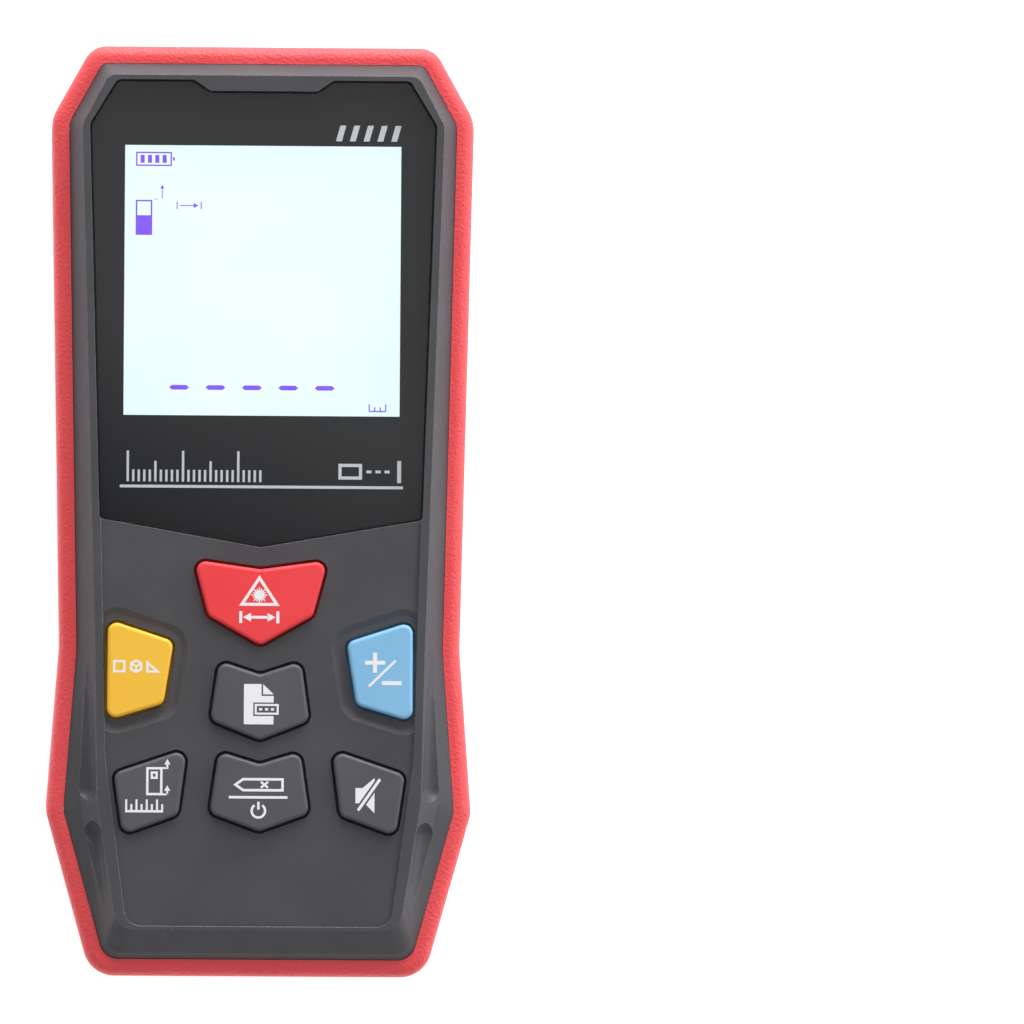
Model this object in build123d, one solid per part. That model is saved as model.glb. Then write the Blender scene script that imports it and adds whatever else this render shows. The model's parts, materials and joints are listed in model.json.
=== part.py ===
from build123d import *

import os

# Laser distance meter, lying on its back. All sizes are in millimetres.
# +Z points out of the display, +Y out of the head, where the laser leaves, and +X to the right
# of someone reading the display. The origin is under the middle of the object, on its back.

# ---------------------------------------------------------------- driving dimensions

# Body outline, seen from the front
body_length = 118.0
body_width = 54.0  # across the bulge near the tail, before its corners are rounded
head_taper = 5.3  # how far each corner of the outline stands in from the half width
shoulder_taper = 0.17
waist_taper = 1.57
tail_taper = 5.8
shoulder_drop = 9.2  # head end to the shoulder
waist_rise = 41.5  # tail end to the waist
bulge_rise = 20.8  # tail end to the bulge
body_radii = [3.0, 5.0, 12.0, 4.0, 4.0]  # head, shoulder, waist, bulge, tail

# Housing
band_width = 2.2  # red bumper band, seen from the front
band_rise = 1.2  # back face to the band
band_top_round = 1.5
band_bottom_round = 1.9
bevel_height = 3.2  # front cover's bevel, from the band up to the rim
bevel_step = 2.2  # rim down to the crease along the bevel
scoop_radius = 1.8  # hollows in the bevel on either side of the bulge, at their deep end
scoop_end_radius = 1.3
scoop_sink = 0.6  # axis of the hollow below the rim, at its deep end
wall = 1.8
front_wall = 1.8
fit = 0.05  # between pieces that are pressed or dropped into each other
seal_thickness = 0.4
seal_lift = 0.5  # underside of the main board to the seal between the covers
back_chamfer = 0.8
screw_shank = 1.2  # radii
screw_head = 1.9
screw_head_height = 1.6
screw_head_rise = 10.4  # back face to the housing screws' heads
screw_bite = 1.2  # screw tips below the underside of the window's ledge
head_boss_drop = 7.2  # head end to the housing screws
head_boss_inset = 4.7
tail_boss_rise = 12.5
tail_boss_inset = 3.8
board_boss_radius = 2.0
board_shank = 0.8
boss_wall = 1.3
boss_gap = 0.1  # between the front and rear bosses

# Display
window_sink = 0.35  # window below the rim
window_thickness = 1.6
window_gap = 0.12
window_margin = 1.05  # rim beside the window
window_top_margin = 0.7
window_side_drop = 59.83  # head end to the window's lower corners
window_point_drop = 63.37  # head end to the point of the window's lower edge
notch_top = 8.9  # half widths of the notch at the top of the window
notch_bottom = 6.8
notch_depth = 1.4
tape_thickness = 0.15
ledge_thickness = 1.2
lcd_margin = 1.3  # ledge opening to the edge of the display panel
lcd_open_width = 37.8
lcd_open_length = 37.2
lcd_drop = 11.1  # head end to the ledge opening
gasket_thickness = 0.3
lcd_thickness = 2.1
backlight_thickness = 2.0
backlight_margin = 0.6
board_gap = 0.4

# Keypad
panel_sink = 0.4  # keypad panel below the rim
key_datum_drop = 59.0  # head end to the line that the keys' places are counted from
key_proud = 0.9
key_travel = 0.7
key_gap = 0.36
key_flange = 0.65
key_flange_thickness = 0.8
key_edge_round = 0.45
key_corner_radius = 1.15
dish_margin = 2.0  # shallow dish around the two outer keys
dish_slope = 0.9
dish_depth = 0.35
mat_thickness = 0.8
dome_base = 3.1  # radii of the rubber domes
dome_top = 2.2
pill_radius = 1.5
pill_thickness = 0.5
pad_thickness = 0.04
contact_gap = 0.06
mat_half_width = 19.0
mat_far_drop = 5.0  # datum line to the mat's ends
mat_near_drop = 43.2
mat_corner = 2.0

# Battery bay
cell_diameter = 10.4
cell_length = 44.5
cell_nib_radius = 1.9
cell_nib_length = 0.9
cell_gap = 0.4
spring_room = 4.5
bay_wall = 1.2
door_thickness = 1.5
door_sink = 0.3
door_gap = 0.15
door_ledge = 1.6
door_lip = 3.4
foam_thickness = 0.25
contact_thickness = 0.4
contact_half_width = 3.6
tab_half_width = 0.7  # hinge tabs of the door
tab_inset = 0.9  # side of the bay to the middle of a tab
tab_reach = 1.9
tab_thickness = 0.8
latch_half_width = 3.0
latch_leg = 0.6
latch_rise = 1.6  # inside of the door to the top of the latch
hook_gap = 0.1
hook_thickness = 0.6
hook_reach = 0.6

# Electronics
board_thickness = 1.2
board_clearance = 0.4
component_room = 3.6  # between the battery bay and the board, for the tallest component

# Optics
optics_drop = 9.0  # head end to the front of the optics block
block_length = 34.0
block_lift = 1.9  # inside of the back to the block
block_wall = 1.0  # above and below the lens
block_side_wall = 1.45  # beside the lens and the laser
block_room = 0.5  # between the block and the board
receiver_x = 4.5
lens_diameter = 12.0
lens_thickness = 2.8
lens_edge = 1.2
laser_x = -9.0
barrel_diameter = 6.2
barrel_length = 21.0
nose_margin = 0.6  # opening in the head wall around the block
nose_sink = 0.6  # bezel behind the head end
glass_thickness = 1.0
post_radius = 2.2
post_x = 17.0
ear_under = 8.0
ear_thickness = 1.6

# Tripod thread, 1/4 inch with 20 turns to the inch, cored to its minor diameter
tripod_drop = 55.0  # head end to the thread's axis
tripod_hole_radius = 2.6
tripod_insert_radius = 4.25
tripod_insert_length = 8.0

# Rating label on the back
label_recess = 0.25
label_thickness = 0.2
label_half_width = 14.0
label_drop = 14.0  # head end to the label
label_length = 30.0

# ---------------------------------------------------------------- levels and lines

half_length = body_length / 2
half_width = body_width / 2
head_y = half_length
tail_y = -half_length

cover_inset = band_width + fit
cavity_inset = cover_inset + wall

cell_radius = cell_diameter / 2
cell_x = cell_radius + cell_gap / 2
bay_half_width = cell_diameter + 1.5 * cell_gap
door_inner = door_sink + door_thickness
cell_z = door_inner + foam_thickness + fit + cell_radius
bay_ceiling = cell_z + cell_radius + 0.3
bay_tail = tail_y + cavity_inset
bay_head = bay_tail + cell_length + spring_room
door_tail = bay_tail + door_lip
door_head = bay_head + door_ledge
door_half_width = bay_half_width + door_ledge
bay_block_half_width = door_half_width + bay_wall
bay_block_head = door_head + bay_wall

lens_radius = lens_diameter / 2
barrel_radius = barrel_diameter / 2
optics_front = head_y - optics_drop
optics_back = optics_front - block_length
block_under = wall + block_lift
optics_z = block_under + block_wall + lens_radius
block_top = optics_z + lens_radius + block_wall
block_right = receiver_x + lens_radius + block_side_wall
block_left = laser_x - barrel_radius - block_side_wall
nose_half_width = max(block_right, -block_left) + nose_margin

# The stack from the back to the rim: the board lies over the taller of the optics and the battery
# bay, and the display, its ledge and the window lie on the board.
board_under = max(block_top + block_room, bay_ceiling + bay_wall + component_room)
board_top = board_under + board_thickness
backlight_under = board_top + board_gap
lcd_under = backlight_under + backlight_thickness
lcd_top = lcd_under + lcd_thickness
ledge_under = lcd_top + gasket_thickness
ledge_top = ledge_under + ledge_thickness
window_under = ledge_top + tape_thickness
window_top = window_under + window_thickness
rim_height = window_top + window_sink
bevel_foot = rim_height - bevel_height
panel_z = rim_height - panel_sink
wall_under = panel_z - front_wall
seal_rise = board_under + seal_lift
skirt_under = seal_rise + seal_thickness

shank_hole = screw_shank + fit
boss_radius = shank_hole + boss_wall
counterbore = screw_head + 0.3
rear_boss_radius = counterbore + 1.0
head_seat = screw_head_rise + screw_head_height
front_boss_under = board_under - 0.2

datum_y = head_y - key_datum_drop
tripod_y = head_y - tripod_drop

barrel_front = optics_front + 0.5
barrel_back = barrel_front - barrel_length
ear_top = ear_under + ear_thickness
pill_low = board_top + pad_thickness + key_travel + contact_gap
dome_hollow_top = pill_low + pill_thickness + fit
dome_high = wall_under - fit - key_flange_thickness - fit
tab_x = bay_half_width - tab_inset
tab_low = door_inner + door_gap
latch_high = door_inner + latch_rise
hook_low = door_inner + hook_gap


# ---------------------------------------------------------------- helpers


def both_sides(right):
    """Corners of a symmetric outline, from those of its right-hand side, head to tail."""
    return right + [(-x, y) for x, y in reversed(right)]


def both_ways(radii):
    """Corner radii of a symmetric outline, from those of its right-hand side."""
    return radii + radii[::-1]


def flipped(corners):
    """The same corners on the other side of the object, in the same direction of travel."""
    return [(-x, y) for x, y in reversed(corners)]


def inset(corners, distance):
    """Corners of a clockwise outline with each of its edges moved in by distance."""
    moved = []
    for i, corner in enumerate(corners):
        here = Vector(*corner)
        arriving = (here - Vector(*corners[i - 1])).normalized()
        leaving = (Vector(*corners[(i + 1) % len(corners)]) - here).normalized()
        normal_in = Vector(arriving.Y, -arriving.X)
        normal_out = Vector(leaving.Y, -leaving.X)
        shift = (normal_in + normal_out) * (distance / (1 + normal_in.dot(normal_out)))
        moved.append((here.X + shift.X, here.Y + shift.Y))
    return moved


def face(corners, radii, z):
    """Flat face at height z, with straight edges and rounded corners."""
    points = [(x, y, z) for x, y in corners]
    return make_face(FilletPolyline(*points, radius=radii, close=True))


def prism(corners, radii, low, high):
    """Upright solid on a rounded outline, from height low to height high."""
    return extrude(face(corners, radii, low), amount=high - low, dir=(0, 0, 1))


def block(x, y, z, radius=0):
    """Box between two values on each axis, its upright edges rounded if radius is given."""
    solid = Pos((x[0] + x[1]) / 2, (y[0] + y[1]) / 2, (z[0] + z[1]) / 2) * Box(
        x[1] - x[0], y[1] - y[0], z[1] - z[0]
    )
    return fillet(solid.edges().filter_by(Axis.Z), radius) if radius else solid


def rod(x, y, radius, low, high):
    """Upright cylinder."""
    return Pos(x, y, (low + high) / 2) * Cylinder(radius, high - low)


def barrel(x, z, radius, near, far, far_radius=None):
    """Cylinder or cone along Y, from y = near to y = far."""
    place = Plane(origin=(x, near, z), x_dir=(1, 0, 0), z_dir=(0, 1, 0))
    if far_radius is None:
        far_radius = radius
    if far_radius == radius:
        return place * Pos(0, 0, (far - near) / 2) * Cylinder(radius, far - near)
    return place * Pos(0, 0, (far - near) / 2) * Cone(radius, far_radius, far - near)


def turned(profile, place):
    """Solid turned from a closed (radius, height) profile about the Z axis of a plane."""
    outline = make_face(Plane.XZ * Polyline(*profile, close=True))
    return place * revolve(outline, Axis.Z)


def along_y(x, y, z, towards_head=True):
    """Plane whose Z axis runs along the object at the given point."""
    return Plane(origin=(x, y, z), x_dir=(1, 0, 0), z_dir=(0, 1 if towards_head else -1, 0))


# ---------------------------------------------------------------- outlines

body_side = [
    (half_width - head_taper, head_y),
    (half_width - shoulder_taper, head_y - shoulder_drop),
    (half_width - waist_taper, tail_y + waist_rise),
    (half_width, tail_y + bulge_rise),
    (half_width - tail_taper, tail_y),
]
body = both_sides(body_side)

# The rim is where the front cover's bevel ends: how far each of its corners stands in from the
# body's corner, towards the middle and towards the head (negative: towards the tail).
rim_steps = [(2.1, -3.75), (3.9, -0.8), (4.55, 0.0), (6.5, 1.5), (3.3, 6.1)]
rim_radii = [1.5, 3.0, 12.0, 8.0, 2.6]
rim_side = [(x - dx, y + dy) for (x, y), (dx, dy) in zip(body_side, rim_steps)]
rim = both_sides(rim_side)

# The crease halfway up the bevel runs straight past the bulge, which leaves a wing outside it.
foot_side = inset(body, cover_inset)[: len(body_side)]
foot_radii = [1.2, 3.0, 12.0, 2.6, 2.4]
crease_share = (bevel_height - bevel_step) / bevel_height
crease_side = [
    (a[0] + (b[0] - a[0]) * crease_share, a[1] + (b[1] - a[1]) * crease_share)
    for a, b in zip(foot_side, rim_side)
]
wing_inner = 2.1  # rim to the crease at the bulge
tail_round_out = 0.75  # foot to the crease at the tail, where the bevel is rounded
crease_side[3] = (rim_side[3][0] + wing_inner, rim_side[3][1] - 0.4)
crease_side[4] = (foot_side[4][0] - 0.4, foot_side[4][1] + tail_round_out)
crease_radii = [1.3, 3.0, 12.0, 6.0, 2.4]

window_low = head_y - window_side_drop
window_point = head_y - window_point_drop
window_edge_top = rim_side[0][1] - window_top_margin
window_slope = (rim_side[1][0] - rim_side[2][0]) / (rim_side[1][1] - rim_side[2][1])
window_low_x = rim_side[1][0] - window_margin - window_slope * (rim_side[1][1] - window_low)
ledge_near = window_point - 0.8
window_side = [
    (notch_bottom, window_edge_top - notch_depth),
    (notch_top, window_edge_top),
    (rim_side[0][0] - 1.1, window_edge_top),
    (rim_side[1][0] - window_margin, rim_side[1][1]),
    (window_low_x, window_low),
]
window_outline = window_side + [(0, window_point)] + flipped(window_side)
window_radii = [0.5, 0.5, 1.0, 1.5, 0.6, 0.5, 0.6, 1.5, 1.0, 0.5, 0.5]

# The keypad panel is sunk a little inside the rim, which is narrower at the tail.
panel_rim = 0.95
panel_rim_tail = 0.4
panel_outline = both_sides(
    [
        (window_low_x - 0.05, window_low + 0.4),
        (rim_side[3][0] - panel_rim, rim_side[3][1] + 5.7),
        (rim_side[4][0] - panel_rim - 0.2, rim_side[4][1] + panel_rim_tail),
    ]
)
panel_radii = [0.3, 12.0, 2.2, 2.2, 12.0, 0.3]

cavity = inset(body, cavity_inset)
cavity_radii = [0.8, 1.5, 12.0, 1.2, 1.2]
upper_cavity = inset(rim, 0.5)
upper_cavity_radii = [1.0, 2.5, 12.0, 7.5, 2.1]


def chevron(top, half_top, notch, half_low, side, point):
    """Corners of a key with a notched upper edge and a pointed lower edge."""
    right = [(half_top, top), (half_low, top - side)]
    return [(0, top - notch)] + right + [(0, top - point)] + flipped(right)


# Corners of the keys, their y counted from the keypad's datum line
key_corners = {
    "key_dist": chevron(-6.08, 8.53, 1.18, 6.63, 7.06, 10.82),
    "key_log": chevron(-18.85, 5.2, 1.71, 6.28, 7.55, 10.05),
    "key_clear": chevron(-30.3, 5.17, 1.6, 6.33, 7.85, 10.15),
    "key_plus_minus": [(10.93, -16.45), (19.3, -13.7), (19.35, -26.5), (12.2, -24.35)],
    "key_mute": [(9.15, -30.0), (18.45, -33.15), (17.3, -41.0), (10.25, -38.4)],
}
key_corners["key_func"] = flipped(key_corners["key_plus_minus"])
key_corners["key_unit"] = flipped(key_corners["key_mute"])
key_outlines = {
    name: [(x, y + datum_y) for x, y in corners] for name, corners in key_corners.items()
}
dished_keys = ["key_func", "key_plus_minus"]


def key_centre(name):
    """Middle of a key's outline."""
    corners = key_outlines[name]
    return sum(x for x, y in corners) / len(corners), sum(y for x, y in corners) / len(corners)


# ---------------------------------------------------------------- fastener places

housing_bosses = both_sides(
    [
        (body_side[0][0] - head_boss_inset, head_y - head_boss_drop),
        (body_side[4][0] - tail_boss_inset, tail_y + tail_boss_rise),
    ]
)
board_bosses = both_sides([(18.0, datum_y + 3.0), (13.5, tail_y + 8.8)])
posts = [(-post_x, optics_back + 4), (post_x, optics_back + 4), (post_x, optics_back + 26)]


# ---------------------------------------------------------------- housing


def front_cover():
    """Grey front shell: skirt, bevel with its wings, rim, window seat and keypad panel."""
    foot = both_sides(foot_side)
    foot_corner_radii = both_ways(foot_radii)
    crease_corner_radii = both_ways(crease_radii)
    rim_corner_radii = both_ways(rim_radii)
    sections = [
        face(foot, foot_corner_radii, bevel_foot),
        face(both_sides(crease_side), crease_corner_radii, rim_height - bevel_step),
        face(rim, rim_corner_radii, rim_height),
    ]
    shell = loft(sections, ruled=True)
    shell += prism(foot, foot_corner_radii, skirt_under, bevel_foot)
    for hollow in scoops():
        shell -= hollow
    shell -= prism(
        cavity, both_ways(cavity_radii), skirt_under, bevel_foot - wall * 0.8
    )
    hollow = prism(
        upper_cavity, both_ways(upper_cavity_radii), skirt_under, wall_under
    )
    under_window = block(
        (-half_width, half_width), (ledge_near, head_y), (ledge_under, wall_under)
    )
    shell -= hollow - under_window
    shell -= prism(inset(window_outline, -window_gap), window_radii, ledge_top, rim_height)
    shell -= display_opening(0, ledge_under, ledge_top)
    shell -= prism(panel_outline, panel_radii, panel_z, rim_height)
    for name, outline in key_outlines.items():
        shell -= prism(inset(outline, -key_gap), key_corner_radius + key_gap, wall_under, panel_z)
        if name in dished_keys:
            shell -= dish(outline)
    for x, y in housing_bosses:
        shell += rod(x, y, boss_radius, front_boss_under, boss_root(y)) & column
        shell -= rod(x, y, shank_hole, front_boss_under, ledge_under - 0.8)
    for x, y in board_bosses:
        shell += rod(x, y, board_boss_radius, board_top, boss_root(y))
        shell -= rod(x, y, board_shank + fit, board_top, ledge_under - 0.8)
    return shell


def line_x(side, y):
    """Where a side of an outline crosses the given y."""
    for (x_far, y_far), (x_near, y_near) in zip(side, side[1:]):
        if y_near <= y <= y_far:
            return x_far + (x_near - x_far) * (y_far - y) / (y_far - y_near)


def scoops():
    """Tapering hollows in the bevel, two on each side, deepest beside the bulge."""
    hollows = []
    bulge_y = rim_side[3][1]
    for deep_y, end_y in ((bulge_y + 1.6, bulge_y + 19.0), (bulge_y - 4.2, bulge_y - 14.0)):
        deep = Vector(line_x(rim_side, deep_y) + scoop_radius, deep_y, rim_height - scoop_sink)
        rim_edge = Vector(line_x(rim_side, end_y), end_y, rim_height)
        crease = Vector(line_x(crease_side, end_y), end_y, rim_height - bevel_step)
        slope = (crease - rim_edge).normalized()
        outward = Vector(-slope.Z, 0, slope.X)
        end = (rim_edge + crease) * 0.5 + outward * scoop_end_radius
        place = Plane(origin=deep, z_dir=end - deep)
        length = (end - deep).length
        hollow = place * Pos(0, 0, length / 2) * Cone(scoop_radius, scoop_end_radius, length)
        hollow += Pos(*deep) * Sphere(scoop_radius)
        hollows += [hollow, mirror(hollow, about=Plane.YZ)]
    return hollows


def boss_root(y):
    """Height at which a boss runs into the front cover: the window's ledge or the front wall."""
    return (ledge_under if y > ledge_near else wall_under) + 0.5


def dish(outline):
    """Shallow dish in the panel around a key, with sloping sides."""
    radius = key_corner_radius + dish_margin
    low_radius = radius - dish_slope
    hollow = loft(
        [
            face(inset(outline, dish_slope - dish_margin), low_radius, panel_z - dish_depth),
            face(inset(outline, -dish_margin), radius, panel_z),
        ],
        ruled=True,
    )
    return hollow & prism(inset(panel_outline, 0.05), panel_radii, panel_z - dish_depth, panel_z)


def display_opening(margin, low, high):
    """Rounded box over the display, wider than the ledge's opening by margin all round."""
    half = lcd_open_width / 2 + margin
    top = head_y - lcd_drop + margin
    bottom = head_y - lcd_drop - lcd_open_length - margin
    return block((-half, half), (bottom, top), (low, high), radius=0.8)


column = prism(foot_side + flipped(foot_side), 1.0, 0, bevel_foot)


def rear_cover():
    """Rear shell: back, wall, battery bay, screw columns, optics posts and tripod boss."""
    outline = both_sides(foot_side)
    shell = prism(outline, both_ways(foot_radii), 0, seal_rise)
    shell = chamfer(shell.edges().group_by(Axis.Z)[0], back_chamfer)
    shell -= prism(cavity, both_ways(cavity_radii), wall, seal_rise)
    shell += block(
        (-bay_block_half_width, bay_block_half_width),
        (bay_tail, bay_block_head),
        (0.5, bay_ceiling + bay_wall),
    )
    for x, y in housing_bosses:
        shell += rod(x, y, rear_boss_radius, 0.5, front_boss_under - boss_gap) & column
    for x, y in posts:
        shell += rod(x, y, post_radius, wall, ear_under)
    tripod_boss = tripod_insert_radius + 1.8
    shell += rod(0, tripod_y, tripod_boss, wall, tripod_insert_length + 1.5)
    shell -= block(
        (-bay_half_width, bay_half_width), (bay_tail, bay_head), (door_inner, bay_ceiling)
    )
    shell -= block(
        (-door_half_width, door_half_width), (door_tail, door_head), (0, door_inner + door_gap), 1
    )
    shell -= latch_slot()
    for x, y in housing_bosses:
        shell -= rod(x, y, counterbore, 0, head_seat)
        shell -= rod(x, y, shank_hole, head_seat, front_boss_under)
    for x, y in posts:
        shell -= rod(x, y, board_shank + fit, wall + 0.8, ear_under)
    shell -= rod(0, tripod_y, tripod_insert_radius + fit, 0, tripod_insert_length + 0.2)
    shell -= nose_opening(0)
    shell -= label_area(0, 0, label_recess)
    return shell


def bumper_band():
    """Red soft band around both covers, open at the head for the optics."""
    outer = prism(body, both_ways(body_radii), band_rise, bevel_foot)
    outer = fillet(outer.edges().group_by(Axis.Z)[-1], band_top_round)
    outer = fillet(outer.edges().group_by(Axis.Z)[0], band_bottom_round)
    inner = prism(
        inset(body, band_width), both_ways(foot_radii), band_rise, bevel_foot
    )
    return outer - inner - nose_opening(0)


def housing_seal():
    """Flat rubber ring pinched between the two covers."""
    outer = prism(
        inset(body, cover_inset + 0.2), both_ways(foot_radii), seal_rise, skirt_under
    )
    inner = prism(
        inset(body, cavity_inset - 0.1), both_ways(cavity_radii), seal_rise, skirt_under
    )
    return outer - inner


def label_area(margin, low, high):
    """Rounded rectangle of the label on the back, smaller by margin all round."""
    half = label_half_width - margin
    top = head_y - label_drop - margin
    bottom = head_y - label_drop - label_length + margin
    return block((-half, half), (bottom, top), (low, high), radius=1.5)


def rear_label():
    """Blank rating label, sunk into the back."""
    return label_area(0.15, label_recess - label_thickness, label_recess)


def tripod_insert():
    """Knurled brass insert with the tripod thread's bore and a groove round its middle."""
    top = tripod_insert_length + 0.2
    insert = rod(0, tripod_y, tripod_insert_radius, 0.2, top)
    middle = top / 2
    groove = rod(0, tripod_y, tripod_insert_radius + 1, middle - 0.6, middle + 0.6)
    insert -= groove - rod(0, tripod_y, tripod_insert_radius - 0.5, 0, top)
    return insert - rod(0, tripod_y, tripod_hole_radius, 0, tripod_insert_length - 0.8)


def screw(x, y, head_low, head_height, head_radius, shank_radius, tip):
    """Cross-recessed screw on an upright axis, its tip above or below its head."""
    upward = tip > head_low
    head_high = head_low + head_height
    shape = rod(x, y, head_radius, head_low, head_high)
    shape += rod(x, y, shank_radius, head_high if upward else tip, tip if upward else head_low)
    depth = head_height * 0.6
    slot = (head_low, head_low + depth) if upward else (head_high - depth, head_high)
    arm = head_radius * 0.62
    thin = head_radius * 0.16
    shape -= block((x - arm, x + arm), (y - thin, y + thin), slot)
    shape -= block((x - thin, x + thin), (y - arm, y + arm), slot)
    return shape


def housing_screws():
    """Four long screws that hold the covers together, driven from the back."""
    tip = ledge_under - screw_bite
    return [
        screw(x, y, screw_head_rise, screw_head_height, screw_head, screw_shank, tip)
        for x, y in housing_bosses
    ]


# ---------------------------------------------------------------- display


def display_window():
    """Clear front window with its lower edge in a shallow V."""
    pane = prism(window_outline, window_radii, window_under, window_top)
    return chamfer(pane.edges().group_by(Axis.Z)[-1], 0.15)


def window_tape():
    """Black double-sided tape between the window and its ledge."""
    sheet = prism(inset(window_outline, 0.4), 0.4, ledge_top, window_under)
    return sheet - display_opening(0.5, ledge_top, window_under)


def lcd_gasket():
    """Foam frame between the display panel and the ledge."""
    frame = display_opening(lcd_margin, lcd_top, ledge_under)
    return frame - display_opening(0.1, lcd_top, ledge_under)


def lcd_glass():
    """Display panel: two glass sheets, the lower one longer, with its contact shelf."""
    shelf = 2.2
    panel = display_opening(lcd_margin, lcd_under, lcd_top)
    bottom = head_y - lcd_drop - lcd_open_length - lcd_margin
    step = block(
        (-half_width, half_width), (bottom - 1, bottom + shelf / 2), (lcd_under + 1.1, lcd_top)
    )
    return panel - step


def lcd_backlight():
    """Light guide and its frame under the display panel."""
    return display_opening(lcd_margin - backlight_margin, backlight_under, lcd_under)


def lcd_flex():
    """Flat cable from the display panel's shelf down to the main board."""
    sheet = 0.15
    half = 8.0
    near = head_y - lcd_drop - lcd_open_length - lcd_margin - fit
    drop = near - 2.2
    foot = drop - 2.0
    top = lcd_under + 0.6
    flat = block((-half, half), (drop, near), (top - sheet, top))
    upright = block((-half, half), (drop, drop + sheet), (board_top + fit, top))
    landing = block((-half, half), (foot, drop + sheet), (board_top + fit, board_top + fit + sheet))
    return flat + upright + landing


# ---------------------------------------------------------------- keypad


def key(name):
    """Hard key cap: flange under the panel, body through it, rounded upper edge."""
    outline = key_outlines[name]
    top = panel_z + key_proud
    flange_top = wall_under - fit
    flange_low = flange_top - key_flange_thickness
    cap = prism(outline, key_corner_radius, flange_low, top)
    cap = fillet(cap.edges().group_by(Axis.Z)[-1], key_edge_round)
    return cap + prism(
        inset(outline, -key_flange), key_corner_radius + key_flange, flange_low, flange_top
    )


def keypad_mat():
    """Silicone mat with a hollow dome under each key."""
    sheet_top = board_top + mat_thickness
    mat = block(
        (-mat_half_width, mat_half_width),
        (datum_y - mat_near_drop, datum_y - mat_far_drop),
        (board_top, sheet_top),
        mat_corner,
    )
    neck = (dome_top + dome_base) / 2
    for name in key_outlines:
        x, y = key_centre(name)
        profile = [
            (0, sheet_top - 0.4),
            (dome_base, sheet_top - 0.4),
            (dome_base, sheet_top),
            (neck, sheet_top + 1.2),
            (dome_top, sheet_top + 2.0),
            (dome_top, dome_high),
            (0, dome_high),
        ]
        mat += turned(profile, Plane(origin=(x, y, 0)))
        hollow = [
            (0, board_top),
            (dome_base - 0.5, board_top),
            (pill_radius + 0.2, dome_hollow_top),
            (0, dome_hollow_top),
        ]
        mat -= turned(hollow, Plane(origin=(x, y, 0)))
    return mat


def pill(name):
    """Carbon contact in the ceiling of a dome."""
    x, y = key_centre(name)
    return rod(x, y, pill_radius, pill_low, pill_low + pill_thickness)


def switch_pads():
    """Gold-plated contact fields on the board, one under each key, each a pair of half discs."""
    pads = []
    for name in key_outlines:
        x, y = key_centre(name)
        disc = rod(x, y, pill_radius, board_top, board_top + pad_thickness)
        gap = block((x - 0.15, x + 0.15), (y - 3, y + 3), (board_top, board_top + pad_thickness))
        pads += (disc - gap).solids()
    return pads


# ---------------------------------------------------------------- electronics


def main_board():
    """Circuit board under the display and the keypad, notched for the screw columns."""
    board = prism(
        inset(body, cavity_inset + board_clearance),
        both_ways(cavity_radii),
        board_under,
        board_top,
    )
    board_head = head_y - head_boss_drop - rear_boss_radius - board_clearance
    board -= block(
        (-half_width, half_width), (board_head, head_y), (board_under, board_top)
    )
    for x, y in housing_bosses:
        board -= rod(x, y, rear_boss_radius + board_clearance, board_under, board_top)
    for x, y in board_bosses:
        board -= rod(x, y, board_shank + 0.2, board_under, board_top)
    return board


def board_screws():
    """Four small screws that hold the board to the front cover."""
    tip = ledge_under - screw_bite
    return [screw(x, y, board_under - 1.1, 1.1, 1.6, board_shank, tip) for x, y in board_bosses]


def chip(x, y, width, length, height):
    """Flat component on the underside of the board, centred at x, y."""
    return block(
        (x - width / 2, x + width / 2),
        (y - length / 2, y + length / 2),
        (board_under - height, board_under),
    )


def mcu_chip():
    """Main processor."""
    return chip(-6.0, datum_y - 12.0, 9.0, 9.0, 1.2)


def small_chips():
    """Amplifier, memory, boost converter and display driver."""
    places = [
        (9.0, 8.0, 5.0, 4.0),
        (-14.5, -2.0, 4.0, 4.0),
        (13.5, -4.5, 4.0, 5.0),
        (-9.0, 9.0, 6.0, 5.0),
    ]
    return [chip(x, datum_y + y, width, length, 0.9) for x, y, width, length in places]


def passives():
    """Resistors and capacitors, in two rows beside the processor."""
    rows = []
    for row in range(2):
        for column_number in range(7):
            x = -12.0 + 1.9 * column_number
            y = datum_y - 19.5 - 2.4 * row
            rows.append(chip(x, y, 0.8, 1.6, 0.6))
    return rows


def crystal():
    """Timing crystal in its metal can."""
    return chip(2.5, datum_y - 12.0, 2.5, 3.2, 0.8)


def buzzer():
    """Round sounder with the hole in its lid."""
    x = 12.0
    y = datum_y - 14.0
    under = board_under - 3.0
    can = rod(x, y, 4.5, under, board_under)
    return can - rod(x, y, 0.9, under, under + 1)


# ---------------------------------------------------------------- optics


def nose_opening(margin):
    """Opening for the nose bezel in the head wall, smaller by margin all round."""
    half_height = block_wall + lens_radius + 0.3 - margin
    depth = cavity_inset + 0.5
    hole = Pos(0, head_y - cavity_inset + depth / 2, optics_z) * Box(
        2 * (nose_half_width - margin), depth, 2 * half_height
    )
    return fillet(hole.edges().filter_by(Axis.Y), 2.0)


def nose_bezel():
    """Black plate in the head end, with a bore for each of the two light paths."""
    plate = nose_opening(0.1) & block(
        (-half_width, half_width), (head_y - cavity_inset, head_y - nose_sink), (0, rim_height)
    )
    near = head_y - cavity_inset
    plate -= barrel(receiver_x, optics_z, lens_radius - 0.4, near, head_y, lens_radius + 0.6)
    plate -= barrel(laser_x, optics_z, 2.6, near, head_y, 3.4)
    return plate


def optics_window():
    """Clear plate behind the bezel, in front of both light paths."""
    far = head_y - cavity_inset - fit
    width = block_right - block_left
    height = block_top - block_under - 1.0
    plate = Pos((block_left + block_right) / 2, far - glass_thickness / 2, optics_z) * Box(
        width, glass_thickness, height
    )
    return fillet(plate.edges().filter_by(Axis.Y), 1.2)


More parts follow.
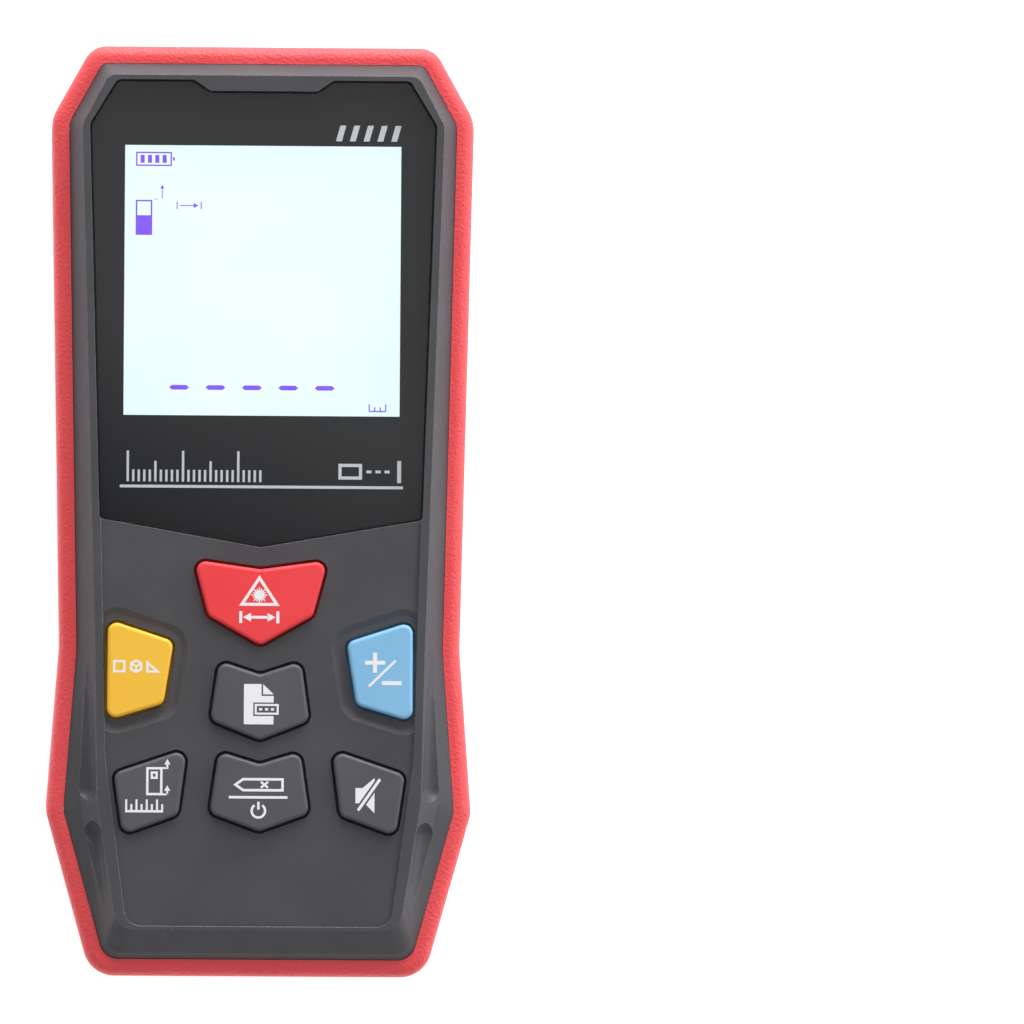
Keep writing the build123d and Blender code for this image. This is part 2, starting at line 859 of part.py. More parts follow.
def optics_block():
    """Cast block that holds the laser and the receiver in line, on three ears."""
    body_block = block(
        (block_left, block_right), (optics_back, optics_front), (block_under, block_top)
    )
    body_block = fillet(body_block.edges().filter_by(Axis.Y), 1.0)
    for x, y in posts:
        inner = block_left + 1 if x < 0 else block_right - 1
        low_x, high_x = min(x, inner), max(x, inner)
        body_block += block(
            (low_x, high_x), (y - post_radius, y + post_radius), (ear_under, ear_top)
        )
        body_block += rod(x, y, post_radius, ear_under, ear_top)
    seat = lens_thickness + 1.4
    bench = optics_back + 3.0
    body_block -= barrel(receiver_x, optics_z, lens_radius + fit, optics_front - seat, optics_front)
    body_block -= barrel(receiver_x, optics_z, 2.4, bench, optics_front - seat, lens_radius - 0.5)
    body_block -= barrel(receiver_x, optics_z, 2.4, optics_back, bench)
    body_block -= barrel(laser_x, optics_z, barrel_radius + fit, barrel_back, optics_front)
    body_block -= barrel(laser_x, optics_z, 2.0, optics_back, barrel_back)
    for x, y in posts:
        body_block -= rod(x, y, board_shank + 0.2, ear_under, ear_top)
    return body_block


def optics_screws():
    """Three screws that hold the optics block down on its posts."""
    return [screw(x, y, ear_top, 1.2, 1.8, board_shank, wall + 1.2) for x, y in posts]


def receiver_lens():
    """Collecting lens, flat behind and domed in front, with a ground edge."""
    seat = optics_front - lens_thickness - 1.4
    return lens(lens_radius - fit, lens_edge, lens_thickness, along_y(receiver_x, seat + fit, optics_z))


def lens(radius, edge, thickness, place):
    """Flat-backed lens with a spherical front, standing on a plane."""
    bulge = thickness - edge
    sphere_radius = (radius**2 + bulge**2) / (2 * bulge)
    blank = Pos(0, 0, thickness / 2) * Cylinder(radius, thickness)
    return place * (blank & Pos(0, 0, thickness - sphere_radius) * Sphere(sphere_radius))


def lens_ring():
    """Ring that holds the receiver lens in its seat."""
    low = optics_front - 1.3
    ring = barrel(receiver_x, optics_z, lens_radius - fit, low, optics_front)
    return ring - barrel(receiver_x, optics_z, lens_radius - 0.7, low, optics_front)


def laser_barrel():
    """Brass tube around the laser diode and its lens."""
    tube = barrel(laser_x, optics_z, barrel_radius, barrel_back, barrel_front)
    tube -= barrel(laser_x, optics_z, barrel_radius - 0.5, barrel_back, barrel_front - 1.0)
    return tube - barrel(laser_x, optics_z, 1.6, barrel_front - 1.0, barrel_front)


def laser_diode():
    """Laser diode: flange, can and three pins."""
    start = barrel_back + 1.0
    shape = barrel(laser_x, optics_z, barrel_radius - 0.55, start, start + 1.2)
    shape += barrel(laser_x, optics_z, 1.8, start + 1.2, start + 3.5)
    for dx, dz in ((0, 0.9), (0.8, -0.5), (-0.8, -0.5)):
        shape += barrel(laser_x + dx, optics_z + dz, 0.22, start - 5.0, start)
    return shape


def collimator_lens():
    """Small lens that makes the beam parallel."""
    return lens(barrel_radius - 0.55, lens_edge, 1.85, along_y(laser_x, barrel_front - 3.5, optics_z))


def detector_board():
    """Small upright board behind the receiver."""
    return block(
        (receiver_x - 7.0, receiver_x + 7.5),
        (optics_back - fit - 1.0, optics_back - fit),
        (block_under + 0.5, block_top - 0.5),
    )


def photodiode():
    """Light detector in its metal can, on the detector board."""
    can = barrel(receiver_x, optics_z, 2.2, optics_back - fit, optics_back + 2.6)
    return can - barrel(receiver_x, optics_z, 0.8, optics_back + 2.2, optics_back + 2.6)


# ---------------------------------------------------------------- battery bay


def battery_cell(x, nib_towards_head):
    """Dry cell with a rounded can and its positive nib."""
    radius = cell_radius
    can = cell_length - cell_nib_length
    edge = 0.5
    profile = [
        (0, 0),
        (radius - edge, 0),
        (radius, edge),
        (radius, can - edge),
        (radius - edge, can),
        (cell_nib_radius, can),
        (cell_nib_radius, cell_length),
        (0, cell_length),
    ]
    clear = contact_thickness + fit
    if nib_towards_head:
        place = along_y(x, bay_head - clear - cell_length, cell_z)
    else:
        place = along_y(x, bay_tail + clear + cell_length, cell_z, towards_head=False)
    return turned(profile, place)


def contact_plate(x, y, half_plate):
    """Sprung-steel plate across the bay, against the end wall at y."""
    low = cell_z - 3.4
    high = cell_z + 3.6
    return block((x - half_plate, x + half_plate), (y, y + contact_thickness), (low, high))


def positive_contact():
    """Flat contact for the left-hand cell's nib."""
    return contact_plate(-cell_x, bay_head - contact_thickness, contact_half_width)


def negative_contact():
    """Plate behind the right-hand cell's spring."""
    return contact_plate(cell_x, bay_head - contact_thickness, contact_half_width)


def bridge_contact():
    """Plate at the tail that joins the two cells."""
    return contact_plate(0, bay_tail, cell_x + contact_half_width)


def contact_springs():
    """Tapered springs on the negative side of each cell, as closed coils."""
    length = spring_room - 2 * contact_thickness - 2 * fit
    turns = 5
    pitch = length / turns
    profile = [(1.4, 0)]
    for turn in range(turns):
        wide = 3.0 - 0.25 * turn
        profile.append((wide, (turn + 0.15) * pitch))
        profile.append((wide, (turn + 0.7) * pitch))
        profile.append((wide - 0.45, (turn + 0.85) * pitch))
    profile.append((1.4, length))
    tail_place = along_y(-cell_x, bay_tail + contact_thickness + fit / 2, cell_z)
    head_place = along_y(cell_x, bay_head - contact_thickness - fit / 2, cell_z, False)
    return [turned(profile, tail_place), turned(profile, head_place)]


def battery_door():
    """Battery door, hinged on two tabs under the lip at the tail, with grip grooves."""
    door = block(
        (-door_half_width + door_gap, door_half_width - door_gap),
        (door_tail + 0.2, door_head - door_gap),
        (door_sink, door_inner),
        0.9,
    )
    tab_top = tab_low + tab_thickness
    root = door_tail + 0.2
    for x in (-tab_x, tab_x):
        sides = (x - tab_half_width, x + tab_half_width)
        door += block(sides, (root, root + 1.2), (door_inner, tab_top))
        door += block(sides, (door_tail - tab_reach, root), (tab_low, tab_top))
    groove_depth = 0.35
    half_groove = 0.45
    for groove in range(5):
        y = door_head - 4.0 - 1.8 * groove
        door -= block(
            (-7.0, 7.0),
            (y - half_groove, y + half_groove),
            (door_sink, door_sink + groove_depth),
            half_groove - 0.01,
        )
    return door


def latch_slot():
    """Room for the latch in the bay's head wall, and the undercut that its hook catches."""
    half = latch_half_width + 0.4
    room = block((-half, half), (bay_head - 0.1, door_head), (door_inner, latch_high + 0.2))
    return room + block(
        (-half, half),
        (door_head - 0.2, door_head + hook_reach + 0.15),
        (door_inner, hook_low + hook_thickness + 0.2),
    )


def door_latch():
    """Springy snap hook at the head end of the door, bent like a U."""
    far = door_head - door_gap - 0.1
    near = bay_head - 0.3
    half = (-latch_half_width, latch_half_width)
    fixed_leg = block(half, (near, near + latch_leg), (door_inner, latch_high))
    top = block(half, (near, far), (latch_high - latch_leg, latch_high))
    free_leg = block(half, (far - latch_leg, far), (hook_low, latch_high))
    hook = block(
        half, (far - latch_leg, door_head + hook_reach), (hook_low, hook_low + hook_thickness)
    )
    return fixed_leg + top + free_leg + hook


def door_foam():
    """Foam strip on the door that keeps the cells from rattling."""
    middle = (door_tail + door_head) / 2
    return block((-9.0, 9.0), (middle - 12, middle + 12), (door_inner, door_inner + foam_thickness))


# ---------------------------------------------------------------- all pieces

pieces = {
    "front_cover": front_cover(),
    "rear_cover": rear_cover(),
    "bumper_band": bumper_band(),
    "housing_seal": housing_seal(),
    "rear_label": rear_label(),
    "tripod_insert": tripod_insert(),
    "housing_screws": housing_screws(),
    "display_window": display_window(),
    "window_tape": window_tape(),
    "lcd_gasket": lcd_gasket(),
    "lcd_glass": lcd_glass(),
    "lcd_backlight": lcd_backlight(),
    "lcd_flex": lcd_flex(),
    "keypad_mat": keypad_mat(),
    "switch_pads": switch_pads(),
    "main_board": main_board(),
    "board_screws": board_screws(),
    "mcu_chip": mcu_chip(),
    "small_chips": small_chips(),
    "passives": passives(),
    "crystal": crystal(),
    "buzzer": buzzer(),
    "nose_bezel": nose_bezel(),
    "optics_window": optics_window(),
    "optics_block": optics_block(),
    "optics_screws": optics_screws(),
    "receiver_lens": receiver_lens(),
    "lens_ring": lens_ring(),
    "laser_barrel": laser_barrel(),
    "laser_diode": laser_diode(),
    "collimator_lens": collimator_lens(),
    "detector_board": detector_board(),
    "photodiode": photodiode(),
    "battery_cell_left": battery_cell(-cell_x, nib_towards_head=True),
    "battery_cell_right": battery_cell(cell_x, nib_towards_head=False),
    "positive_contact": positive_contact(),
    "negative_contact": negative_contact(),
    "bridge_contact": bridge_contact(),
    "contact_springs": contact_springs(),
    "battery_door": battery_door(),
    "door_latch": door_latch(),
    "door_foam": door_foam(),
}
for key_name in key_outlines:
    pieces[key_name] = key(key_name)
    pieces["pill_" + key_name[4:]] = pill(key_name)

os.makedirs("parts", exist_ok=True)
for name, shape in pieces.items():
    if isinstance(shape, list):
        shape = Compound(children=[solid for item in shape for solid in item.solids()])
    export_step(shape, os.path.join("parts", name + ".step"))
print(len(pieces), "pieces written")
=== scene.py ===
# %% [markdown]
# # Laser distance meter
# This lesson dresses a finished CAD model of a handheld laser distance meter. The CAD part gives
# every shell, screw and key its true size and place. Blender's work is what the eye sees: moulded
# plastic, soft rubber, printed legends, glass and a lit display.
#
# They are in metres, with the meter lying on its back, the display facing up (+Z) and the laser
# end pointing away (+Y).

# %% Load the frame
import json
import math

import bmesh
import bpy
from mathutils import Matrix, Vector


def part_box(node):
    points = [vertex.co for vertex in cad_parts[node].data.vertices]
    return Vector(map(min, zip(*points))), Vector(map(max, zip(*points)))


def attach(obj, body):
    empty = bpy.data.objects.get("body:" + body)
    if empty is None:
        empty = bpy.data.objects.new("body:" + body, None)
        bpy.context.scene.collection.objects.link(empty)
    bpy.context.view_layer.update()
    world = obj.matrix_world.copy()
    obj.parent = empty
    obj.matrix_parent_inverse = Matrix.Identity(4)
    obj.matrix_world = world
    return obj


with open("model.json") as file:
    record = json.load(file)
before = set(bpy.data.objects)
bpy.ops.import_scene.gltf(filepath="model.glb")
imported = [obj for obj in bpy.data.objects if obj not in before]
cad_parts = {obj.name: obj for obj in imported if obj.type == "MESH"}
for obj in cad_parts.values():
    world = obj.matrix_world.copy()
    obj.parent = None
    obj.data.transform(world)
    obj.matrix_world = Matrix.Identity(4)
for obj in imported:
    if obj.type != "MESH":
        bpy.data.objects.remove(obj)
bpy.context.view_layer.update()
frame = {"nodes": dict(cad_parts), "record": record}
nodes = frame["nodes"]
MM = 0.001

# %% [markdown]
# ## Camera
# Product pictures are taken from straight above with a long lens, so that parallel edges stay
# parallel. A lens shift slides the meter to the left of the frame without turning the camera. The
# camera stands a touch to the left, and is rolled by under half a degree, because the meter wasn't
# laid down perfectly straight.

# %% Camera
FIELD = 129.6 * MM  # width of the frame at the height of the front cover's rim
DISTANCE = 1.4  # metres from the rim to the lens
SENSOR = 36.0
LEAN = math.radians(1.2)
ROLL = math.radians(0.4)
SHIFT = 0.245  # as a share of the frame's width
RIM_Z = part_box("front_cover")[1].z

camera_data = bpy.data.cameras.new("camera")
camera_data.sensor_width = SENSOR
camera_data.lens = SENSOR * DISTANCE / FIELD
camera_data.shift_x = SHIFT
camera_data.clip_end = 10.0
camera = bpy.data.objects.new("camera", camera_data)
bpy.context.collection.objects.link(camera)
camera.location = (-DISTANCE * math.sin(LEAN), 0, RIM_Z + DISTANCE * math.cos(LEAN))
camera.rotation_euler = (Matrix.Rotation(-LEAN, 3, "Y") @ Matrix.Rotation(ROLL, 3, "Z")).to_euler()
bpy.context.scene.camera = camera
print("camera lens", round(camera_data.lens), "mm")

# %% [markdown]
# ## Colours and node graphs
# Colours are written as the hex codes that a paint shop or a web page uses. Blender computes in
# linear light, so one function turns a code into linear numbers. A second small function adds a
# shader node, sets its values and makes its links, which keeps every material short to read.
#
# Patterns read Object coordinates. They are real metres here, so a texture's scale can be worked
# out from the size in millimetres that the grain or the thread has on the real object.


# %% Helpers for materials
def colour(code):
    """Linear RGBA of an sRGB hex code such as 'e3585b'."""
    parts = [int(code[i : i + 2], 16) / 255 for i in (0, 2, 4)]
    return tuple(c / 12.92 if c <= 0.04045 else ((c + 0.055) / 1.055) ** 2.4 for c in parts) + (1,)


def add(tree, kind, settings=None, values=None, links=None):
    """Adds a shader node: settings are its options, values its sockets, links other outputs."""
    made = tree.nodes.new("ShaderNode" + kind)
    for key, value in (settings or {}).items():
        setattr(made, key, value)
    for key, value in (values or {}).items():
        made.inputs[key].default_value = value
    for key, output in (links or {}).items():
        tree.links.new(output, made.inputs[key])
    return made


def start(name, **values):
    """New material, its node tree and its Principled shader, whose sockets get the values."""
    material = bpy.data.materials.new(name)
    material.use_nodes = True
    shader = material.node_tree.nodes["Principled BSDF"]
    for key, value in values.items():
        shader.inputs[key.replace("_", " ")].default_value = value
    return material, material.node_tree, shader


def per_mm(size):
    """Scale of a noise whose features are about this many millimetres apart."""
    return 1 / (size * MM)


def two_tone(tree, fac, low, high, near=0.35, far=0.7):
    """Colour that goes from one hex code to another as fac goes from near to far."""
    ramp = add(tree, "ValToRGB", links={"Fac": fac})
    for element, place, code in zip(ramp.color_ramp.elements, (near, far), (low, high)):
        element.position = place
        element.color = colour(code)
    return ramp.outputs["Color"]


# %% [markdown]
# ## Studio
# The meter lies on a bright white sheet that hardly shows a shadow. A wide, low softbox beyond its
# head makes the bevel there shine and leaves the bevels at the sides and the tail darker, which
# shows the shape of the shell. A weaker one at the right and an even white surround fill the rest.

# %% Floor and lights
FLOOR_HALF_SIZE = 3.0
FLOOR_GAP = 0.1 * MM  # keeps the floor just clear of the pieces that rest on it
FLOOR_GLOW = 0.7
SURROUND_STRENGTH = 0.45

floor_mesh = bpy.data.meshes.new("floor")
shape = bmesh.new()
bmesh.ops.create_grid(shape, x_segments=1, y_segments=1, size=FLOOR_HALF_SIZE)
shape.to_mesh(floor_mesh)
shape.free()
floor = bpy.data.objects.new("floor", floor_mesh)
floor.location = (0, 0, -FLOOR_GAP)
bpy.context.collection.objects.link(floor)

paper, tree, shader = start(
    "white paper sweep", Roughness=0.95, Emission_Color=(1, 1, 1, 1), Emission_Strength=FLOOR_GLOW
)
mottle = add(tree, "TexNoise", values={"Scale": per_mm(80), "Detail": 2.0})
tree.links.new(two_tone(tree, mottle.outputs["Fac"], "f4f4f4", "fafafa"), shader.inputs["Base Color"])
floor_mesh.materials.append(paper)

world = bpy.data.worlds.new("surround")
world.use_nodes = True
background = world.node_tree.nodes["Background"]
background.inputs["Color"].default_value = (1, 1, 1, 1)
background.inputs["Strength"].default_value = SURROUND_STRENGTH
bpy.context.scene.world = world
bpy.context.scene.view_settings.view_transform = "Standard"


def softbox(name, place, size, power):
    """Rectangular area light at place, facing the meter."""
    data = bpy.data.lights.new(name, "AREA")
    data.shape = "RECTANGLE"
    data.size, data.size_y = size
    data.energy = power
    light = bpy.data.objects.new(name, data)
    light.location = place
    light.rotation_euler = (-Vector(place)).to_track_quat("-Z", "Y").to_euler()
    bpy.context.collection.objects.link(light)


softbox("head_softbox", (0.15, 0.95, 0.36), (1.0, 0.7), 14.0)
softbox("right_softbox", (0.9, 0.15, 0.4), (0.6, 0.6), 3.0)
print("studio ready")

# %% [markdown]
# ## Ceiling
# Glossy black glass shows little colour of its own: what makes it look like glass is what it
# mirrors. From above, that is the studio's ceiling, which is lit beyond the meter's head and dark
# over its tail. A large sheet that only glossy surfaces can see fades from one to the other.

# %% Ceiling
CEILING_Z = 1.6
CEILING_HALF_SIZE = 0.4
CEILING_GLOW = 0.85
FADE_START = -10 * MM
FADE_END = 45 * MM
FADE_DIRECTION = (0.4, 0.9, 0.0)

ceiling_mesh = bpy.data.meshes.new("ceiling")
shape = bmesh.new()
bmesh.ops.create_grid(shape, x_segments=1, y_segments=1, size=CEILING_HALF_SIZE)
bmesh.ops.translate(shape, vec=(0, 0, CEILING_Z), verts=shape.verts)
shape.to_mesh(ceiling_mesh)
shape.free()
ceiling = bpy.data.objects.new("ceiling", ceiling_mesh)
bpy.context.collection.objects.link(ceiling)
ceiling.visible_camera = False
ceiling.visible_diffuse = False
ceiling.visible_shadow = False
ceiling.visible_transmission = False

plaster, tree, shader = start(
    "painted plaster ceiling", Base_Color=(0, 0, 0, 1), Roughness=1.0, Emission_Strength=1.0
)
along = add(
    tree,
    "VectorMath",
    settings={"operation": "DOT_PRODUCT"},
    values={1: FADE_DIRECTION},
    links={0: add(tree, "TexCoord").outputs["Object"]},
)
fade = add(
    tree,
    "MapRange",
    values={"From Min": FADE_START, "From Max": FADE_END, "To Max": CEILING_GLOW},
    links={"Value": along.outputs["Value"]},
)
tree.links.new(fade.outputs["Result"], shader.inputs["Emission Color"])
ceiling_mesh.materials.append(plaster)
print("ceiling ready")

# %% [markdown]
# ## Moulded plastic and rubber
# Spark-eroded tool steel leaves a fine, even grain on everything that is moulded in it. A noise of
# the grain's size drives the bump. A wide, weak noise varies the colour and the gloss a little, as
# handling does. Corners in moulds are never perfectly sharp, so the Bevel node rounds the way that
# light falls on them by a tenth of a millimetre, and edges catch a thin highlight. Faces that look
# straight up were polished a little more in the mould, so their grain can be made weaker.
#
# Edges of dark plastic get a pale line. It is mostly a painted highlight where light catches a rounded
# edge, partly the pale rub of handling. An edge is where the rounded normal leaves the true one, so
# their dot product finds it, and the grain breaks the pale line up.


# %% Moulded finishes
EDGE_MATCH = (0.995, 0.93)  # match of the two normals: where an edge starts, and where it is full
GRAIN_BREAK = (0.45, 0.6)  # levels of the grain between which the pale line comes and goes
FAINTEST = 0.25  # share of the pale line that is left where the grain is low


def painted_edge_highlight_and_rub(tree, tone, rounded, grain, rub):
    """Painted edge highlight, partly rub: lighter colour along edges, where the rounded normal leaves
    the true one, broken by grain.
    """
    true_normal = add(tree, "NewGeometry").outputs["True Normal"]
    match = add(
        tree, "VectorMath", settings={"operation": "DOT_PRODUCT"}, links={0: rounded, 1: true_normal}
    )
    bent = add(
        tree,
        "MapRange",
        values={"From Min": EDGE_MATCH[0], "From Max": EDGE_MATCH[1]},
        links={"Value": match.outputs["Value"]},
    )
    patchy = add(
        tree,
        "MapRange",
        values={"From Min": GRAIN_BREAK[0], "From Max": GRAIN_BREAK[1], "To Min": FAINTEST},
        links={"Value": grain},
    )
    share = add(
        tree,
        "Math",
        settings={"operation": "MULTIPLY"},
        links={0: bent.outputs["Result"], 1: patchy.outputs["Result"]},
    )
    # In colour mode the Mix node has its colours at inputs 6 and 7 and its result at output 2.
    mix = add(
        tree,
        "Mix",
        settings={"data_type": "RGBA"},
        values={7: colour(rub)},
        links={0: share.outputs["Value"], 6: tone},
    )
    return mix.outputs[2]


def moulded(
    name, low, high, roughness, grain=0.25, depth=0.012, edge=0.0, flat_grain=0.8, rub="", **values
):
    """Moulded polymer of two close colours. Grain, its depth and the edge are in millimetres."""
    material, tree, shader = start(name, **values)
    coordinates = add(tree, "TexCoord")
    place = coordinates.outputs["Object"]
    wide = add(
        tree, "TexNoise", values={"Scale": per_mm(9.0), "Detail": 3.0}, links={"Vector": place}
    )
    tone = two_tone(tree, wide.outputs["Fac"], low, high)
    gloss = add(
        tree,
        "MapRange",
        values={"To Min": roughness - 0.05, "To Max": roughness + 0.06},
        links={"Value": wide.outputs["Fac"]},
    )
    tree.links.new(gloss.outputs["Result"], shader.inputs["Roughness"])
    fine = add(
        tree,
        "TexNoise",
        values={"Scale": per_mm(grain), "Detail": 2.0, "Roughness": 0.6},
        links={"Vector": place},
    )
    slant = add(tree, "SeparateXYZ", links={"Vector": coordinates.outputs["Normal"]}).outputs["Z"]
    strength = add(
        tree,
        "MapRange",
        values={"From Min": 0.8, "From Max": 1.0, "To Min": 1.0, "To Max": flat_grain},
        links={"Value": slant},
    )
    bump = add(
        tree,
        "Bump",
        values={"Distance": depth * MM},
        links={"Height": fine.outputs["Fac"], "Strength": strength.outputs["Result"]},
    )
    if edge:
        rounded = add(tree, "Bevel", settings={"samples": 4}, values={"Radius": edge * MM})
        tree.links.new(rounded.outputs["Normal"], bump.inputs["Normal"])
    # Pale line along edges: painted highlight, partly rub of handling.
    if rub:
        tone = painted_edge_highlight_and_rub(tree, tone, rounded.outputs["Normal"], fine.outputs["Fac"], rub)
    tree.links.new(tone, shader.inputs["Base Color"])
    tree.links.new(bump.outputs["Normal"], shader.inputs["Normal"])
    return material


# The shell's pale edge colour is a painted highlight along its edges, partly rub of handling.
SHELL_GRAIN = {"edge": 0.12, "flat_grain": 0.25, "rub": "8d8c92"}
KEY_GRAIN = {"grain": 0.15, "depth": 0.003, "edge": 0.1, "Specular_IOR_Level": 0.35}
FINISHES = {
    "front_shell": moulded(
        "ABS spark eroded dark grey", "464549", "4c4b50", 0.5, 0.35, 0.06, **SHELL_GRAIN
    ),
    "rear_shell": moulded("ABS spark eroded charcoal", "3b3a3e", "424145", 0.55, 0.35, 0.03, 0.12),
    "red_band": moulded("TPE soft touch red", "f24d52", "f75358", 0.4, 0.38, 0.17),
    "key_red": moulded("ABS satin red", "f64248", "f9474d", 0.4, **KEY_GRAIN),
    "key_yellow": moulded("ABS satin amber", "ffc53a", "ffc943", 0.4, **KEY_GRAIN),
    "key_blue": moulded("ABS satin light blue", "86c0e8", "8cc4ec", 0.4, **KEY_GRAIN),
    "key_grey": moulded("ABS satin slate grey", "57565c", "5c5b61", 0.4, **KEY_GRAIN),
    "seal_rubber": moulded("nitrile rubber black", "1a1a1b", "222223", 0.7, 0.2, 0.01),
    "foam_black": moulded("polyurethane foam black", "161617", "262627", 0.95, 0.5, 0.12),
    "black_tape": moulded("acrylic foam tape black", "141415", "1b1b1c", 0.6, 0.3, 0.01),
    "silicone_grey": moulded("silicone moulded grey", "8d8f92", "97999c", 0.5, 0.2, 0.004),
    "carbon_rubber": moulded("carbon filled silicone", "101011", "18181a", 0.65, 0.1, 0.006),
    "bezel_black": moulded("polycarbonate eroded black", "151517", "1d1d20", 0.45, 0.2, 0.01, 0.1),
    "ring_black": moulded("acetal turned black", "121213", "19191b", 0.35, 0.1, 0.004),
    "chip_black": moulded("epoxy moulding compound", "1d1e20", "26272a", 0.55, 0.12, 0.008),
    "passive_ceramic": moulded("fired ceramic tan", "a58a66", "b59b78", 0.45, 0.1, 0.004),
    "light_guide": moulded("acrylic milky light guide", "e9edee", "f3f6f7", 0.35, 0.3, 0.003),
    "label_film": moulded("polyester film silver grey", "a9abae", "b2b4b7", 0.4, 0.15, 0.003),
}
print(len(FINISHES), "moulded finishes")

# %% [markdown]
# ## Metals
# Drawn, rolled and turned metal shows fine lines in the direction of the work. The noise for them
# is drawn out along one axis, so that it becomes streaks, and drives colour, gloss and bump. The
# cast block has no direction, so its noise keeps its shape, at the size of the casting's grain.


# %% Metal finishes
def metal(name, low, high, roughness, streak=(1, 1, 12), grain=0.3, depth=0.004):
    """Bare or plated metal, with streaks drawn out along the axes that streak makes coarse."""
    material, tree, shader = start(name, Metallic=1.0)
    place = add(tree, "TexCoord").outputs["Object"]
    drawn = add(tree, "Mapping", values={"Scale": [1 / s for s in streak]}, links={"Vector": place})
    lines = add(
        tree,
        "TexNoise",
        values={"Scale": per_mm(grain), "Detail": 3.0},
        links={"Vector": drawn.outputs["Vector"]},
    )
    tree.links.new(two_tone(tree, lines.outputs["Fac"], low, high), shader.inputs["Base Color"])
    gloss = add(
        tree,
        "MapRange",
        values={"To Min": roughness - 0.08, "To Max": roughness + 0.1},
        links={"Value": lines.outputs["Fac"]},
    )
    tree.links.new(gloss.outputs["Result"], shader.inputs["Roughness"])
    bump = add(
        tree,
        "Bump",
        values={"Strength": 0.6, "Distance": depth * MM},
        links={"Height": lines.outputs["Fac"]},
    )
    tree.links.new(bump.outputs["Normal"], shader.inputs["Normal"])
    return material


FINISHES["insert_brass"] = metal("brass turned", "b8945a", "cdaa6c", 0.3)
FINISHES["screw_steel"] = metal("steel zinc plated", "a9abae", "c3c5c8", 0.3)
FINISHES["can_steel"] = metal("steel nickel plated", "b5b4b0", "c9c8c4", 0.25, (1, 12, 1))
FINISHES["contact_steel"] = metal("spring steel nickel plated", "b9b8b2", "cdccc6", 0.28, (12, 1, 1))
FINISHES["barrel_brass"] = metal("brass drawn tube", "b8945a", "cdaa6c", 0.28, (1, 12, 1))
FINISHES["gold_pads"] = metal("gold plated copper", "d9b25c", "e6c377", 0.3, (1, 1, 1))
FINISHES["cast_block"] = metal("zinc die cast", "8f9194", "a3a5a8", 0.45, (1, 1, 1), 0.6, 0.02)
print("metals ready")

# %% [markdown]
# ## Window and lenses
# Acrylic reflects about four hundredths of the light that falls straight on it and lets the rest
# through. A mix of a mirror-like gloss and a transparent shader, by Fresnel, gives that without
# the grain that refraction adds to what lies behind the pane. Seen from within the pane the gloss
# is switched off, because the Fresnel node would otherwise throw most of the light back and leave
# the print under the pane dark. Optical glass has a thin blue coat.


# %% Clear finishes
def clear(name, tint_low, tint_high, ior, roughness=0.02):
    """Clear pane or lens: Fresnel gloss over a transparent body with the slightest tint."""
    material = bpy.data.materials.new(name)
    material.use_nodes = True
    tree = material.node_tree
    tree.nodes.remove(tree.nodes["Principled BSDF"])
    place = add(tree, "TexCoord").outputs["Object"]
    cloud = add(
        tree, "TexNoise", values={"Scale": per_mm(12.0), "Detail": 2.0}, links={"Vector": place}
    )
    tint = two_tone(tree, cloud.outputs["Fac"], tint_low, tint_high)
    body = add(tree, "BsdfTransparent", links={"Color": tint})
    gloss = add(tree, "BsdfGlossy", values={"Roughness": roughness})
    share = add(tree, "Fresnel", values={"IOR": ior})
    inside = add(tree, "NewGeometry").outputs["Backfacing"]
    outer = add(
        tree,
        "Math",
        settings={"operation": "SUBTRACT", "use_clamp": True},
        links={0: share.outputs["Fac"], 1: inside},
    )
    mix = add(tree, "MixShader", links={"Fac": outer.outputs["Value"]})
    tree.links.new(body.outputs["BSDF"], mix.inputs[1])
    tree.links.new(gloss.outputs["BSDF"], mix.inputs[2])
    tree.links.new(mix.outputs["Shader"], tree.nodes["Material Output"].inputs["Surface"])
    return material


FINISHES["window_clear"] = clear("acrylic cast clear", "fafcfc", "fdfefe", 1.49)
FINISHES["optics_glass"] = clear("optical glass coated", "d5def4", "e0e8fb", 1.52)
print("clear finishes ready")

# %% [markdown]
# ## Circuit boards, film and cells
# Solder mask is a thin green lacquer. Copper tracks under it stand up a little and look lighter,
# which a brick pattern with very long bricks imitates. The flat cable is amber film over parallel
# tracks about three millimetres apart. A dry cell has a printed jacket: dark, with a green band at
# one end, so a ramp along the cell's length gives both.


# %% Board, cable and cell finishes
def circuit_board():
    """Glass-epoxy board under green solder mask, with tracks half a millimetre apart."""
    material, tree, shader = start("glass epoxy green solder mask", Roughness=0.35, Coat_Weight=0.4)
    place = add(tree, "TexCoord").outputs["Object"]
    tracks = add(
        tree,
        "TexBrick",
        values={
            "Scale": per_mm(1.0),
            "Color1": colour("1d6a43"),
            "Color2": colour("17593a"),
            "Mortar": colour("0f4229"),
            "Mortar Size": 0.09,
            "Brick Width": 7.0,
            "Row Height": 0.55,
        },
        links={"Vector": place},
    )
    tree.links.new(tracks.outputs["Color"], shader.inputs["Base Color"])
    bump = add(
        tree,
        "Bump",
        settings={"invert": True},
        values={"Strength": 0.5, "Distance": 0.03 * MM},
        links={"Height": tracks.outputs["Fac"]},
    )
    tree.links.new(bump.outputs["Normal"], shader.inputs["Normal"])
    return material


TRACK_TURN = 0.5  # millimetres for each radian of the wave, so about three for a whole wave
WAVE_RADIANS = 20  # a wave texture of scale 1 turns through this many radians in a metre


def flat_cable():
    """Polyimide film over copper tracks, about three millimetres apart."""
    material, tree, shader = start("polyimide film with copper tracks", Roughness=0.3)
    place = add(tree, "TexCoord").outputs["Object"]
    stripes = add(
        tree,
        "TexWave",
        settings={"bands_direction": "X"},
        values={"Scale": per_mm(TRACK_TURN) / WAVE_RADIANS},
        links={"Vector": place},
    )
    tone = two_tone(tree, stripes.outputs["Fac"], "9c5a1c", "c98a3a", 0.4, 0.6)
    tree.links.new(tone, shader.inputs["Base Color"])
    return material


